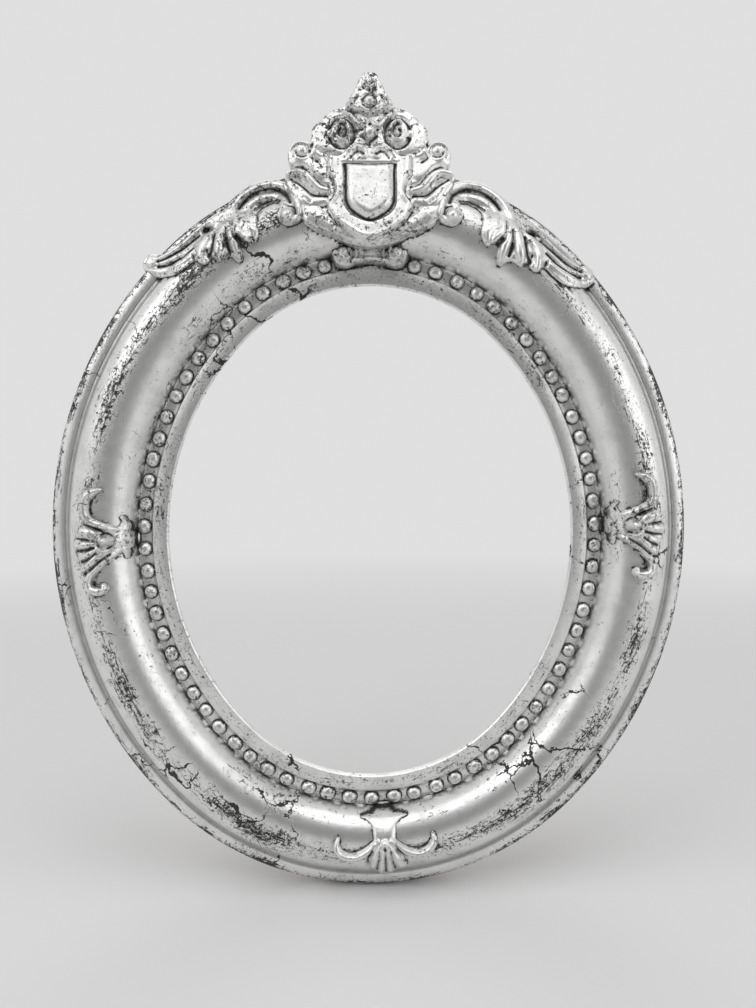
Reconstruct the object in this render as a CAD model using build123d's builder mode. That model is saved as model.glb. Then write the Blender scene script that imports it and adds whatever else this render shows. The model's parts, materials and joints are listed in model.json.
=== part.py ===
from build123d import *
import os
from math import atan2, cos, degrees, pi, radians, sin, sqrt

os.makedirs("parts", exist_ok=True)

# Oval picture frame as it hangs: X is its width, Z its height, and the wall is the plane Y = 0 behind it.
# The front faces -Y. The origin is the middle of the oval on the wall plane. A "rise" is a distance
# forward of the wall plane, and an "offset" a distance outward from the sight edge.

# The opening and the moulding
sight_width = 190.0
sight_height = 232.0
moulding_width = 54.0
back_depth = 8.0
lip_depth = 3.0
swell_rise = 25.0
rim_rise = 12.5

# Bands of the moulding's face, from the sight edge outward. The swell takes what they leave.
lip_band = 7.2
channel_band = 7.0
cove_band = 2.9
quirk_band = 1.0
rim_band = 5.8

lip_slope_rise = 0.5
channel_depth = 1.6
swell_step = 1.4
cove_top_rise = 15.0
cove_middle_rise = 12.6
cove_middle_share = 0.33
rim_crown_shares = ((0.55, 0), (1, 1))
swell_flats = 5
quirk_step = 0.8
rim_edge_drop = 3.6

# The recess for glass, picture and backing board, and the step round it for the fittings
picture_lip = 5.0
fitting_land = 17.0
fitting_step = 3.0
wall_rim_inset = 4.0
glue_line_inset = 2.0

# The course of beads, pressed in one with a thin strip that lies in the channel
bead_count = 70
bead_diameter = 6.3
bead_height = 3.7
bead_sides = 6
bead_taper_angle = 20
bead_strip_depth = 0.8
bead_strip_gap = 0.25
beads_under_crest = 1.78

# Turn buttons that hold the backing board in, and their pivot screws
button_length = 22.0
button_width = 9.0
button_thickness = 1.4
button_corner = 2.6
button_angle = 30.0
button_gap = 0.15
pivot_radius = 1.5
pivot_clearance = 0.08
pivot_head_radius = 3.1
pivot_head_height = 1.0
pivot_grip = 4.2

# The ring hanger in its pocket at the top of the back
pocket_width = 39.0
pocket_height = 37.0
pocket_depth = 5.2
pocket_corner = 4.0
hanger_offset = 28.0
plate_width = 35.0
plate_height = 13.0
plate_thickness = 0.8
plate_corner = 3.0
loop_width = 9.4
ring_wire = 2.0
ring_width = 17.0
ring_length = 17.0
ring_corner = 2.2
ring_sides = 6
ring_bars = 7
ring_clearance = 0.25
hanger_screw_spacing = 26.0
hanger_screw_radius = 1.6
hanger_screw_clearance = 0.2
hanger_head_radius = 3.0
hanger_head_height = 1.2
hanger_grip = 7.5

# Heads are chamfered round a slot. A screw's core in the wood is six-sided, and its hole with it.
head_chamfer_share = 0.5
slot_width = 0.6
slot_depth_share = 0.5
core_share = 0.8
core_sides = 6
turned_sides = 10
carved_sides = 8
flatness = 0.001

# The crest leans back from its foot on the swell to its top. Places and radii in its outlines are
# shares of its height, as (across, up, radius) from the foot.
crest_height = 66.0
crest_lean_angle = 12.0
crest_clearance = 0.5
crest_board_rise = 2.0
board_share = 0.96
relief_low = 1.4
relief_high = 2.4
shield_thickness = 1.6
shield_crown = 1.4
shield_slope_angle = 50.0

gable_shares = ((0, 0.93, 0.06), (0.1, 0.765, 0.053), (-0.1, 0.765, 0.053))
shoulder_shares = ((0, 0.73, 0.09), (0.205, 0.575, 0.167), (-0.205, 0.575, 0.167))
ear_shares = ((0.46, 0.426, 0.082), (0.3, 0.3, 0.15))
skirt_shares = ((0.455, 0.18, 0.1), (0.197, -0.106, 0.085), (0.3, 0.36, 0.12))
finial_shares = ((0, 0.99), (0.1, 0.885), (0.157, 0.77), (0.085, 0.745), (0, 0.69))
rosette_shares = (0, 0.905, 0.05)
finial_bead_shares = (0, 0.79, 0.042)
brow_shares = ((0.155, 0.668, 0.018), (0.1, 0.62, 0.024), (0.053, 0.59, 0.024), (0, 0.615, 0.026))
tongue_shares = ((0, 0.56, 0.05), (0, 0.51, 0.02))
eye_shares = (0.2, 0.555, 0.074)
ear_volute_shares = (0.46, 0.426, 0.068)
side_leaf_shares = ((0.45, 0.34, 0.045), (0.45, 0.2, 0.06), (0.37, 0.05, 0.05), (0.27, -0.1, 0.03))
strapwork_shares = (
    (0, 0.461),
    (0.076, 0.497),
    (0.159, 0.462),
    (0.212, 0.42),
    (0.282, 0.409),
    (0.282, 0.227),
    (0.239, 0.144),
    (0.282, 0.061),
    (0.291, 0.015),
    (0.265, -0.015),
    (0.182, -0.121),
    (0, -0.194),
)
curl_shares = (0.058, 0.388, 0.043)
shield_shares = ((0, 0.326), (0.163, 0.326), (0.163, 0.08), (0.12, -0.015), (0, -0.067))
volute_ring_share = 0.74
volute_button_share = 0.4
volute_sink_share = 0.4

# The scroll between the crest and the bead course, in shares of its length. It overlaps the beads.
bridge_length_share = 0.53
bridge_overlap = 1.9
bridge_height = 8.5
bridge_lean_angle = -24.0
bridge_clearance = 2.0
bridge_saddle_shares = ((-0.32, 0, 0.17), (-0.1, 0.02, 0.125), (0.1, 0.02, 0.125), (0.32, 0, 0.17))
bridge_volute_shares = (0.32, 0, 0.15)

# Wings: scrolled leaves beside the crest that follow the oval, as (along, outward, radius) in shares of
# their length, counted towards the crest from a place that the crest's height and their length set.
# Each row of places has a side, the share of the length to that place, and how far the tail lifts.
wing_length = 70.0
wing_offset = 40.0
wing_crest_share = 0.36
wing_places = (("left", -1, 0.479, 0), ("right", 1, 0.506, -0.06))
wing_lift = 2.2
wing_scroll_lift = 4.2
wing_ball_lift = 5.4
wing_arch_shares = (
    (0.274, -0.115, 0.06),
    (0.362, 0.029, 0.05),
    (0.257, 0.161, 0.054),
    (0.091, 0.168, 0.058),
    (-0.024, 0.04, 0.055),
)
wing_ball_shares = (0.274, -0.115, 0.058)
wing_leaf_shares = ((0.038, 0.1, 0.085), (-0.144, 0.071, 0.09), (-0.359, 0.018, 0.07), (-0.563, 0.086, 0.05))
wing_lobe_shares = (
    ((-0.02, 0.02, 0.05), (-0.065, -0.139, 0.045)),
    ((-0.1, 0.003, 0.06), (-0.159, -0.204, 0.05)),
    ((-0.238, 0.017, 0.06), (-0.34, -0.088, 0.045)),
)
wing_tip_shares = (-0.596, 0.14, 0.06)

# Palmettes: a fan between two hooked scrolls, in shares of their length. Their middles lie at a share
# of the moulding's width.
palmette_length = 50.0
palmette_lift = 1.8
palmette_scroll_lift = 3.2
palmette_places = (
    ("left", -179.9, 0.463, ("left",)),
    ("right", 1.8, 0.48, ("right",)),
    ("bottom", -86.8, 0.456, ("left", "right")),
)
palmette_fan_shares = (
    ((0, -0.15, 0.05), (0, 0.17, 0.065)),
    ((0.03, -0.15, 0.045), (0.13, 0.125, 0.06)),
    ((-0.03, -0.15, 0.045), (-0.13, 0.125, 0.06)),
)
palmette_hook_shares = (
    (0.09, -0.17, 0.045),
    (0.18, 0.05, 0.042),
    (0.35, 0.135, 0.053),
    (0.455, -0.01, 0.034),
)

# How far outlines are pushed through the moulding before they are cut to it
cut_reach = 45.0
steepest_lean = 0.85

# The oval is four arcs that meet smoothly on its diagonals
half_width = sight_width / 2
half_height = sight_height / 2
centre_shift = (half_height - half_width) / (2 - sqrt(2))
side_radius = half_width + centre_shift
end_radius = half_height - centre_shift
seam_angle = 45
top_angle = 2 * seam_angle

carved_turn = 2 * pi / carved_sides

oval_arcs = (
    (seam_angle, 3 * seam_angle, Vector(0, 0, centre_shift), end_radius),
    (-seam_angle, seam_angle, Vector(-centre_shift, 0, 0), side_radius),
    (-3 * seam_angle, -seam_angle, Vector(0, 0, -centre_shift), end_radius),
    (-5 * seam_angle, -3 * seam_angle, Vector(centre_shift, 0, 0), side_radius),
    (-7 * seam_angle, -5 * seam_angle, Vector(0, 0, centre_shift), end_radius),
)

lip_rise = back_depth + lip_depth
swell_start = lip_band + channel_band
rim_start = moulding_width - rim_band
quirk_start = rim_start - quirk_band
cove_start = quirk_start - cove_band
channel_rise = lip_rise - channel_depth
fitting_end = picture_lip + fitting_land
wall_rim_end = moulding_width - wall_rim_inset
glue_line_end = moulding_width - glue_line_inset

swell_arc = ThreePointArc(
    (swell_start, lip_rise + swell_step),
    ((swell_start + cove_start) / 2, swell_rise),
    (cove_start, cove_top_rise),
)

forward = Vector(0, -1, 0)


def outward(angle):
    """Direction square to the oval at an angle, counted from +X towards +Z."""
    return Vector(cos(radians(angle)), 0, sin(radians(angle)))


def place_at(offset, angle):
    """Point on the wall plane at an offset from the sight edge. Angles run from 135 down to -315."""
    for first, last, centre, radius in oval_arcs:
        if first <= angle <= last:
            return centre + outward(angle) * (radius + offset)


def angle_at(offset, share):
    """Angle at a share of the way round the oval, clockwise from the top."""
    quadrant, part = divmod(share * 4, 1)
    mirrored = quadrant % 2
    end_length = (end_radius + offset) * seam_angle
    side_length = (side_radius + offset) * seam_angle
    travel = (end_length + side_length) * (1 - part if mirrored else part)
    if travel < end_length:
        angle = top_angle - travel / (end_radius + offset)
    else:
        angle = seam_angle - (travel - end_length) / (side_radius + offset)
    return (-angle if mirrored else angle) - (2 * top_angle if quadrant > 1 else 0)


def front_plane(offset, angle, rise, lean=0):
    """Plane facing the front on the oval: its x runs clockwise, its y outward and back by the lean."""
    out = outward(angle)
    normal = forward * cos(radians(lean)) + out * sin(radians(lean))
    return Plane(place_at(offset, angle) + forward * rise, x_dir=out.cross(forward), z_dir=normal)


def back_plane(offset, angle, rise):
    """Plane facing the wall on the oval: its x runs clockwise as seen from the front, its y inward."""
    place = place_at(offset, angle) + forward * rise
    return Plane(place, x_dir=outward(angle).cross(forward), z_dir=-forward)


def turn_along_oval(section, first_angle, last_angle):
    """Revolve a section along the oval between two angles, one arc at a time."""
    for arc_first, arc_last, centre, radius in oval_arcs:
        begin = max(first_angle, arc_first)
        end = min(last_angle, arc_last)
        if begin < end:
            out = outward(begin)
            profile = section(Plane(centre + out * radius, x_dir=out, z_dir=out.cross(forward)))
            revolve(profile, axis=Axis(centre, forward), revolution_arc=end - begin)


# Sections across the moulding, with the offset along x and the rise along y


def moulding_section(plane):
    """Sight lip, bead channel, broad swell worked in flats, cove and rounded rim."""
    with BuildSketch(plane) as section:
        with BuildLine():
            Polyline(
                (moulding_width, back_depth),
                (0, back_depth),
                (0, lip_rise),
                (lip_band, lip_rise + lip_slope_rise),
                (lip_band, channel_rise),
                (swell_start, channel_rise),
                *[swell_arc @ (flat / swell_flats) for flat in range(swell_flats + 1)],
                (cove_start + cove_band * cove_middle_share, cove_middle_rise),
                (quirk_start, rim_rise - quirk_step),
                (quirk_start, rim_rise),
                *[
                    (rim_start + rim_band * across, rim_rise - rim_edge_drop * down)
                    for across, down in rim_crown_shares
                ],
                close=True,
            )
        make_face()
    return section.sketch


def back_section(plane):
    """The wood behind the moulding: picture recess, step for the fittings, and wall rim."""
    with BuildSketch(plane) as section:
        with BuildLine():
            Polyline(
                (picture_lip, back_depth),
                (picture_lip, fitting_step),
                (fitting_end, fitting_step),
                (fitting_end, 0),
                (wall_rim_end, 0),
                (glue_line_end, back_depth),
                close=True,
            )
        make_face()
    return section.sketch


def back_outline_section(plane):
    """The same wood as far as its outer side, with its recess and step filled."""
    with BuildSketch(plane) as section:
        with BuildLine():
            Polyline(
                (0, 0), (wall_rim_end, 0), (glue_line_end, back_depth), (0, back_depth), close=True
            )
        make_face()
    return section.sketch


def strip_section(plane):
    """The flat strip that carries the beads."""
    with BuildSketch(plane) as section:
        with Locations((lip_band + channel_band / 2, channel_rise + bead_strip_depth / 2)):
            Rectangle(channel_band - 2 * bead_strip_gap, bead_strip_depth)
    return section.sketch


def swell_plane(place, lift):
    """Plane that lies on the swell at a place of the front view, raised by a lift."""
    bearing = degrees(atan2(place.Z, place.X))
    if bearing > top_angle + seam_angle:
        bearing -= 4 * top_angle
    for first, last, centre, radius in oval_arcs:
        if first <= bearing <= last:
            out = (place - centre).normalized()
            across = (place - centre).length - radius
    lean = (across - swell_arc.arc_center.X) / swell_arc.radius
    lean = max(-steepest_lean, min(steepest_lean, lean))
    normal = forward * sqrt(1 - lean**2) + out * lean
    crown = swell_arc.arc_center.Y + (swell_arc.radius + lift) * sqrt(1 - lean**2)
    return Plane(Vector(place.X, 0, place.Z) + forward * crown, z_dir=normal)


# Outlines of the ornaments


def hull(rounds, unit, side):
    """Corners of one lump, cut in flats: the convex hull of rounds given as shares of a unit."""
    corners = sorted(
        (
            (side * across + radius * cos(carved_turn * corner)) * unit,
            (up + radius * sin(carved_turn * corner)) * unit,
        )
        for across, up, radius in rounds
        for corner in range(carved_sides)
    )
    outline = []
    for row in (corners, corners[::-1]):
        run = []
        for corner in row:
            while len(run) > 1 and turns_back(run[-2], run[-1], corner):
                run.pop()
            run.append(corner)
        outline += run[:-1]
    return outline


def turns_back(first, second, third):
    """Whether the way through three points turns clockwise or runs straight."""
    run = (second[0] - first[0], second[1] - first[1])
    rise = (third[0] - second[0], third[1] - second[1])
    return run[0] * rise[1] <= run[1] * rise[0] + flatness


def lumps(plane, unit, groups, side=1):
    """Lumps run together on a plane."""
    with BuildSketch(plane) as outline:
        for rounds in groups:
            Polygon(*hull(rounds, unit, side), align=None)
    return outline.sketch


def chain(circles):
    """A stroke that swells and narrows along a row of circles."""
    return [circles[place : place + 2] for place in range(len(circles) - 1)]


def both_sides(groups):
    """Groups of circles with their mirror images."""
    return [tuple((side * x, y, r) for x, y, r in circles) for circles in groups for side in (1, -1)]


def scaled(shares, unit):
    """Points given as shares of a unit."""
    return [(across * unit, up * unit) for across, up in shares]


def relief(plane, unit, groups, lift):
    """Lumps that stand on the swell, each cut off by the slope under its middle at a lift."""
    blocks = []
    for rounds in groups:
        across, up = (sum(shares) * unit / len(rounds) for shares in tuple(zip(*rounds))[:2])
        crown = swell_plane(plane.from_local_coords((across, up)), lift)
        with BuildPart() as block:
            extrude(lumps(plane, unit, (rounds,)), amount=cut_reach)
            split(bisect_by=crown, keep=Keep.BOTTOM)
        blocks.append(block.part)
    return blocks


def beside_crest(side, reach, tail_lift, groups):
    """Groups of a wing's circles, bent along the oval, in front view millimetres."""
    travel = 4 * radians(seam_angle) * (end_radius + side_radius + 2 * wing_offset)
    bent = []
    for circles in groups:
        rounds = []
        for along, out, radius in circles:
            share = (reach - along * wing_length) / travel
            angle = angle_at(wing_offset, share if side > 0 else 1 - share)
            place = place_at(wing_offset + (out + along * tail_lift) * wing_length, angle)
            rounds.append((place.X, place.Z, radius * wing_length))
        bent.append(tuple(rounds))
    return bent


def volute(plane, unit, circle, height, side=1):
    """A round scroll end: a disc with a ring sunk round the button at its eye."""
    across, up, radius = (circle[0] * side * unit, circle[1] * unit, circle[2] * unit)
    with BuildPart() as scroll:
        with BuildSketch(plane):
            with Locations((across, up)):
                RegularPolygon(radius, turned_sides)
        extrude(amount=height)
        with BuildSketch(plane.offset(height)):
            with Locations((across, up)):
                RegularPolygon(radius * volute_ring_share, turned_sides)
                RegularPolygon(radius * volute_button_share, turned_sides, mode=Mode.SUBTRACT)
        extrude(amount=-height * volute_sink_share, mode=Mode.SUBTRACT)
    return scroll.part


def round_head_screw(plane, radius, head_radius, head_height, under_head, grip):
    """A screw in the wood that the plane lies on, its head standing off by what it holds."""
    with BuildPart() as fastener:
        with BuildSketch(plane.offset(under_head)):
            RegularPolygon(head_radius, turned_sides)
        extrude(amount=head_height)
        crown = fastener.faces().sort_by(Axis(plane.origin, plane.z_dir))[-1]
        chamfer(crown.edges(), head_height * head_chamfer_share)
        with BuildSketch(plane.offset(under_head)):
            RegularPolygon(radius, turned_sides)
        extrude(amount=-under_head)
        with BuildSketch(plane):
            RegularPolygon(radius * core_share, core_sides)
        extrude(amount=-grip)
        with BuildSketch(plane.offset(under_head + head_height)):
            Rectangle(2 * head_radius, slot_width)
        extrude(amount=-head_height * slot_depth_share, mode=Mode.SUBTRACT)
    return fastener.part


pieces = {}

# Moulding: two halves that meet under the crest and under the bottom palmette

with BuildPart() as moulding_right:
    turn_along_oval(moulding_section, -top_angle, top_angle)
pieces["moulding_right"] = moulding_right

with BuildPart() as moulding_left:
    mirror(moulding_right.part, about=Plane.YZ)
pieces["moulding_left"] = moulding_left

# Bead course: two strips, with the beads between their ends

bead_offset = lip_band + channel_band / 2
bead_radius = bead_diameter / 2
with BuildPart() as bead:
    with BuildSketch():
        RegularPolygon(bead_radius, bead_sides)
    extrude(amount=bead_height, taper=bead_taper_angle)
strip_stops = (beads_under_crest, (bead_count - 1) / 2, bead_count - beads_under_crest)
for name, first_stop, last_stop in zip(("right", "left"), strip_stops, strip_stops[1:]):
    with BuildPart() as bead_strip:
        turn_along_oval(
            strip_section,
            angle_at(bead_offset, last_stop / bead_count),
            angle_at(bead_offset, first_stop / bead_count),
        )
        bead_planes = [
            front_plane(bead_offset, angle_at(bead_offset, number / bead_count), channel_rise)
            for number in range(bead_count)
            if first_stop < number < last_stop
        ]
        with Locations(*bead_planes):
            add(bead.part)
    pieces["bead_strip_" + name] = bead_strip

# Fittings

hanger_plane = back_plane(hanger_offset, top_angle, pocket_depth)
ring_radius = ring_wire / 2
loop_bore = ring_radius + ring_clearance
loop_radius = loop_bore + plate_thickness

with BuildPart() as hanger_screws:
    for side in (-1, 1):
        add(
            round_head_screw(
                Plane(hanger_plane * Location((side * hanger_screw_spacing / 2, plate_height / 2, 0))),
                hanger_screw_radius,
                hanger_head_radius,
                hanger_head_height,
                plate_thickness,
                hanger_grip,
            )
        )
pieces["hanger_screws"] = hanger_screws

with BuildPart() as hanger_plate:
    with BuildSketch(hanger_plane) as hanger_plate_outline:
        with Locations((0, plate_height / 2)):
            Rectangle(plate_width, plate_height)
        chamfer(hanger_plate_outline.vertices(), plate_corner)
        with Locations(
            (-hanger_screw_spacing / 2, plate_height / 2), (hanger_screw_spacing / 2, plate_height / 2)
        ):
            RegularPolygon(hanger_screw_radius + hanger_screw_clearance, turned_sides, mode=Mode.SUBTRACT)
    extrude(amount=plate_thickness)
    ring_axis_place = place_at(hanger_offset, top_angle) + forward * (pocket_depth - loop_radius)
    with BuildSketch(Plane(ring_axis_place, x_dir=(0, 1, 0), z_dir=(1, 0, 0))):
        RegularPolygon(loop_radius, turned_sides)
    extrude(amount=loop_width / 2, both=True)
    with BuildSketch(Plane(ring_axis_place, x_dir=(0, 1, 0), z_dir=(1, 0, 0))):
        Circle(loop_bore)
    extrude(amount=loop_width / 2, both=True, mode=Mode.SUBTRACT)
pieces["hanger_plate"] = hanger_plate

leg_place = (ring_width - ring_wire) / 2
leg_length = ring_length - ring_radius - leg_place
ring_plane = Plane(ring_axis_place, x_dir=(1, 0, 0), z_dir=forward)
with BuildPart() as hanger_ring:
    with BuildLine(ring_plane):
        bend = CenterArc((0, -leg_length), leg_place, 0, -2 * top_angle, mode=Mode.PRIVATE)
        Polyline(
            (ring_corner - leg_place, 0),
            (leg_place - ring_corner, 0),
            (leg_place, -ring_corner),
            *[bend @ (bar / ring_bars) for bar in range(ring_bars + 1)],
            (-leg_place, -ring_corner),
            close=True,
        )
    with BuildSketch(Plane(ring_axis_place, x_dir=(0, 1, 0), z_dir=(1, 0, 0))):
        RegularPolygon(ring_radius, ring_sides)
    sweep(transition=Transition.RIGHT)
pieces["hanger_ring"] = hanger_ring

button_offset = picture_lip + fitting_land / 2
button_angles = (button_angle, -button_angle, button_angle - 2 * top_angle, -button_angle - 2 * top_angle)

with BuildPart() as turn_button_screws:
    for angle in button_angles:
        add(
            round_head_screw(
                back_plane(button_offset, angle, fitting_step),
                pivot_radius,
                pivot_head_radius,
                pivot_head_height,
                button_thickness + 2 * button_gap,
                pivot_grip,
            )
        )
pieces["turn_button_screws"] = turn_button_screws

button_names = ("upper_right", "lower_right", "lower_left", "upper_left")
for name, angle in zip(button_names, button_angles):
    with BuildPart() as turn_button:
        with BuildSketch(back_plane(button_offset, angle, fitting_step).offset(button_gap)) as outline:
            with Locations(((button_length - button_width) / 2, 0)):
                Rectangle(button_length, button_width)
            chamfer(outline.vertices(), button_corner)
            Circle(pivot_radius + pivot_clearance, mode=Mode.SUBTRACT)
        extrude(amount=button_thickness)
    pieces["turn_button_" + name] = turn_button

# Ring of wood behind the moulding: two halves that meet at the sides, across the moulding's joints

with BuildPart() as back_top:
    turn_along_oval(back_section, 0, top_angle)
    mirror(about=Plane.YZ)
    with BuildSketch(Plane.XZ):
        with Locations((0, half_height + hanger_offset)):
            RectangleRounded(pocket_width, pocket_height, pocket_corner)
    extrude(amount=pocket_depth, mode=Mode.SUBTRACT)
    add(hanger_screws.part, mode=Mode.SUBTRACT)
    add(turn_button_screws.part, mode=Mode.SUBTRACT)
pieces["back_top"] = back_top

with BuildPart() as back_bottom:
    turn_along_oval(back_section, -2 * top_angle, 0)
    add(turn_button_screws.part, mode=Mode.SUBTRACT)
pieces["back_bottom"] = back_bottom

# Crest: a leaning body in front of a board that stands on the frame's outer edge

crest_foot_offset = (swell_start + cove_start) / 2
crest_rise = swell_rise + crest_clearance
crest_plane = front_plane(crest_foot_offset, top_angle, crest_rise, crest_lean_angle)
board_plane = front_plane(crest_foot_offset, top_angle, crest_board_rise)
crest_groups = (
    gable_shares,
    shoulder_shares,
    *both_sides((ear_shares,)),
    sum(both_sides((skirt_shares,)), ()),
)
board_groups = (gable_shares, shoulder_shares, sum(both_sides((ear_shares,)), ()))

with BuildPart() as crest_body:
    extrude(lumps(crest_plane, crest_height, crest_groups), amount=-cut_reach)
    split(bisect_by=Plane.XZ.offset(back_depth), keep=Keep.TOP)
    add(moulding_left.part, mode=Mode.SUBTRACT)
    add(moulding_right.part, mode=Mode.SUBTRACT)
pieces["crest_body"] = crest_body

with BuildPart() as back_envelope:
    turn_along_oval(back_outline_section, seam_angle, 3 * seam_angle)

board_thickness = back_depth - crest_board_rise
with BuildPart() as crest_board:
    extrude(lumps(board_plane, crest_height * board_share, board_groups), amount=board_thickness)
    add(back_envelope.part, mode=Mode.SUBTRACT)
pieces["crest_board"] = crest_board

with BuildPart() as crest_finial:
    with BuildSketch(crest_plane):
        with BuildLine():
            Polyline(*scaled(finial_shares, crest_height))
            mirror(about=Plane.YZ)
        make_face()
    extrude(amount=relief_low)
    for shares in (rosette_shares, finial_bead_shares):
        add(volute(crest_plane.offset(relief_low), crest_height, shares, relief_low))
pieces["crest_finial"] = crest_finial

with BuildPart() as crest_brow:
    extrude(lumps(crest_plane, crest_height, both_sides(chain(brow_shares))), amount=relief_low)
    extrude(lumps(crest_plane, crest_height, (tongue_shares,)), amount=relief_low)
pieces["crest_brow"] = crest_brow

for name, side in (("left", -1), ("right", 1)):
    with BuildPart() as eye_volute:
        add(volute(crest_plane, crest_height, eye_shares, relief_high, side))
    pieces[name + "_eye_volute"] = eye_volute

    with BuildPart() as side_leaf:
        extrude(lumps(crest_plane, crest_height, chain(side_leaf_shares), side), amount=relief_high)
        add(volute(crest_plane, crest_height, ear_volute_shares, relief_high, side))
    pieces[name + "_side_leaf"] = side_leaf

with BuildPart() as crest_strapwork:
    with BuildSketch(crest_plane):
        with BuildLine():
            Polyline(*scaled(strapwork_shares, crest_height))
            mirror(about=Plane.YZ)
        make_face()
    extrude(amount=relief_low)
    for side in (-1, 1):
        add(volute(crest_plane.offset(relief_low), crest_height, curl_shares, relief_low, side))
pieces["crest_strapwork"] = crest_strapwork

with BuildPart() as crest_shield:
    with BuildSketch(crest_plane.offset(relief_low)):
        with BuildLine():
            Polyline(*scaled(shield_shares, crest_height))
            mirror(about=Plane.YZ)
        make_face()
    extrude(amount=shield_thickness)
    shield_top = crest_shield.faces().sort_by(Axis(crest_plane.origin, crest_plane.z_dir))[-1]
    extrude(shield_top, amount=shield_crown, taper=shield_slope_angle)
pieces["crest_shield"] = crest_shield

# Scroll that bridges from the crest's foot to the beads

bridge_length = crest_height * bridge_length_share
bridge_plane = front_plane(
    swell_start - bridge_overlap, top_angle, lip_rise + bridge_height, bridge_lean_angle
)
with BuildPart() as bridge_scroll:
    extrude(lumps(bridge_plane, bridge_length, chain(bridge_saddle_shares)), amount=-cut_reach)
    for side in (-1, 1):
        add(volute(bridge_plane, bridge_length, bridge_volute_shares, relief_low, side))
    split(bisect_by=Plane.XZ.offset(lip_rise + bridge_clearance), keep=Keep.TOP)
    for cutter in (moulding_left, moulding_right, crest_body):
        add(cutter.part, mode=Mode.SUBTRACT)
pieces["bridge_scroll"] = bridge_scroll

# Wings on the swell beside the crest

ornament_sheet = Plane.XZ.offset(back_depth)
wing_groups = (
    ((*chain(wing_leaf_shares), *wing_lobe_shares, (wing_tip_shares,)), wing_lift),
    (chain(wing_arch_shares), wing_scroll_lift),
    (((wing_ball_shares,),), wing_ball_lift),
)
for name, side, length_share, tail_lift in wing_places:
    reach = crest_height * wing_crest_share + wing_length * length_share
    with BuildPart() as wing:
        for groups, lift in wing_groups:
            add(relief(ornament_sheet, 1, beside_crest(side, reach, tail_lift, groups), lift))
        for neighbour in ("moulding_" + name, "crest_body", name + "_side_leaf"):
            add(pieces[neighbour].part, mode=Mode.SUBTRACT)
    pieces[name + "_wing"] = wing

# Palmettes over the joints at the sides and the bottom

for name, angle, width_share, palmette_sides in palmette_places:
    plane = front_plane(moulding_width * width_share, angle, back_depth)
    hooks = both_sides(chain(palmette_hook_shares))
    with BuildPart() as palmette:
        add(relief(plane, palmette_length, hooks, palmette_lift))
        add(relief(plane, palmette_length, palmette_fan_shares, palmette_scroll_lift))
        for side in palmette_sides:
            add(pieces["moulding_" + side].part, mode=Mode.SUBTRACT)
    pieces[name + "_palmette"] = palmette

# The hanger's screws run through the ring of wood into both halves of the moulding

for name in ("moulding_left", "moulding_right"):
    with BuildPart() as bored:
        add(pieces[name].part)
        add(hanger_screws.part, mode=Mode.SUBTRACT)
    pieces[name] = bored

for name, piece in pieces.items():
    piece.part.label = name
    export_step(piece.part, "parts/" + name + ".step")
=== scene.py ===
import json
from math import atan2, cos, hypot, pi, radians, sin, sqrt
from random import Random

import bmesh
import bpy
import numpy as np
from bpy.props import FloatProperty, FloatVectorProperty, IntProperty, PointerProperty
from mathutils import Matrix, Vector
from mathutils.bvhtree import BVHTree

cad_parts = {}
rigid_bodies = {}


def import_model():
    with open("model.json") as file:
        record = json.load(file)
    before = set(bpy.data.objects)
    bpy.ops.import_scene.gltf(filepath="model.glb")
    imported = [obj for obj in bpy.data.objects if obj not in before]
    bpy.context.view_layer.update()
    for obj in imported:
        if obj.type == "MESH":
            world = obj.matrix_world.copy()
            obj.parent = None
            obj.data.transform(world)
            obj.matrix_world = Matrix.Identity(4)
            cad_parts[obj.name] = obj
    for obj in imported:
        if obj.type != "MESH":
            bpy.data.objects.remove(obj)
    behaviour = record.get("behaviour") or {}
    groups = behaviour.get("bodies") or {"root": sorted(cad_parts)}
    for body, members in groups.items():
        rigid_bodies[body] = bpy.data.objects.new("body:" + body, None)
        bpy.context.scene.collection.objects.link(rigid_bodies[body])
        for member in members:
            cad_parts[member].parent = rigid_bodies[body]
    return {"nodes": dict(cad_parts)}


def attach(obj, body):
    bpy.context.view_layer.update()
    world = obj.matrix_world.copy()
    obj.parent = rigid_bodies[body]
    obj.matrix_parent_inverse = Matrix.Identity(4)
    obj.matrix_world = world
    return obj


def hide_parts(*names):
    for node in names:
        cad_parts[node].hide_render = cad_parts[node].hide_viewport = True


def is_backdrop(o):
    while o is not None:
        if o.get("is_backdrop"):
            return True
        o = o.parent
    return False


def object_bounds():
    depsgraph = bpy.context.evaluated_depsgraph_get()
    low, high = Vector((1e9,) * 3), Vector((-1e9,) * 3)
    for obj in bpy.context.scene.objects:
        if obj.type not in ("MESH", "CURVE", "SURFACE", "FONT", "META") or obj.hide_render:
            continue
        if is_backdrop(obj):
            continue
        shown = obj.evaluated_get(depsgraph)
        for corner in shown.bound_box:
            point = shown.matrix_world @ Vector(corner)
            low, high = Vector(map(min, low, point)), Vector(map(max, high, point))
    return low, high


bl_info = {
    "name": "Oval Picture Frame",
    "version": (1, 0, 0),
    "blender": (4, 5, 0),
    "location": "3D View > Sidebar > Oval Frame",
    "description": "Silvered oval picture frame with a bead course, crest, wings and palmettes",
    "category": "Add Mesh",
}

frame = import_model()
cad_low, cad_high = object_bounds()

MM = 0.001
FRONT = Vector((0, -1, 0))


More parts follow.
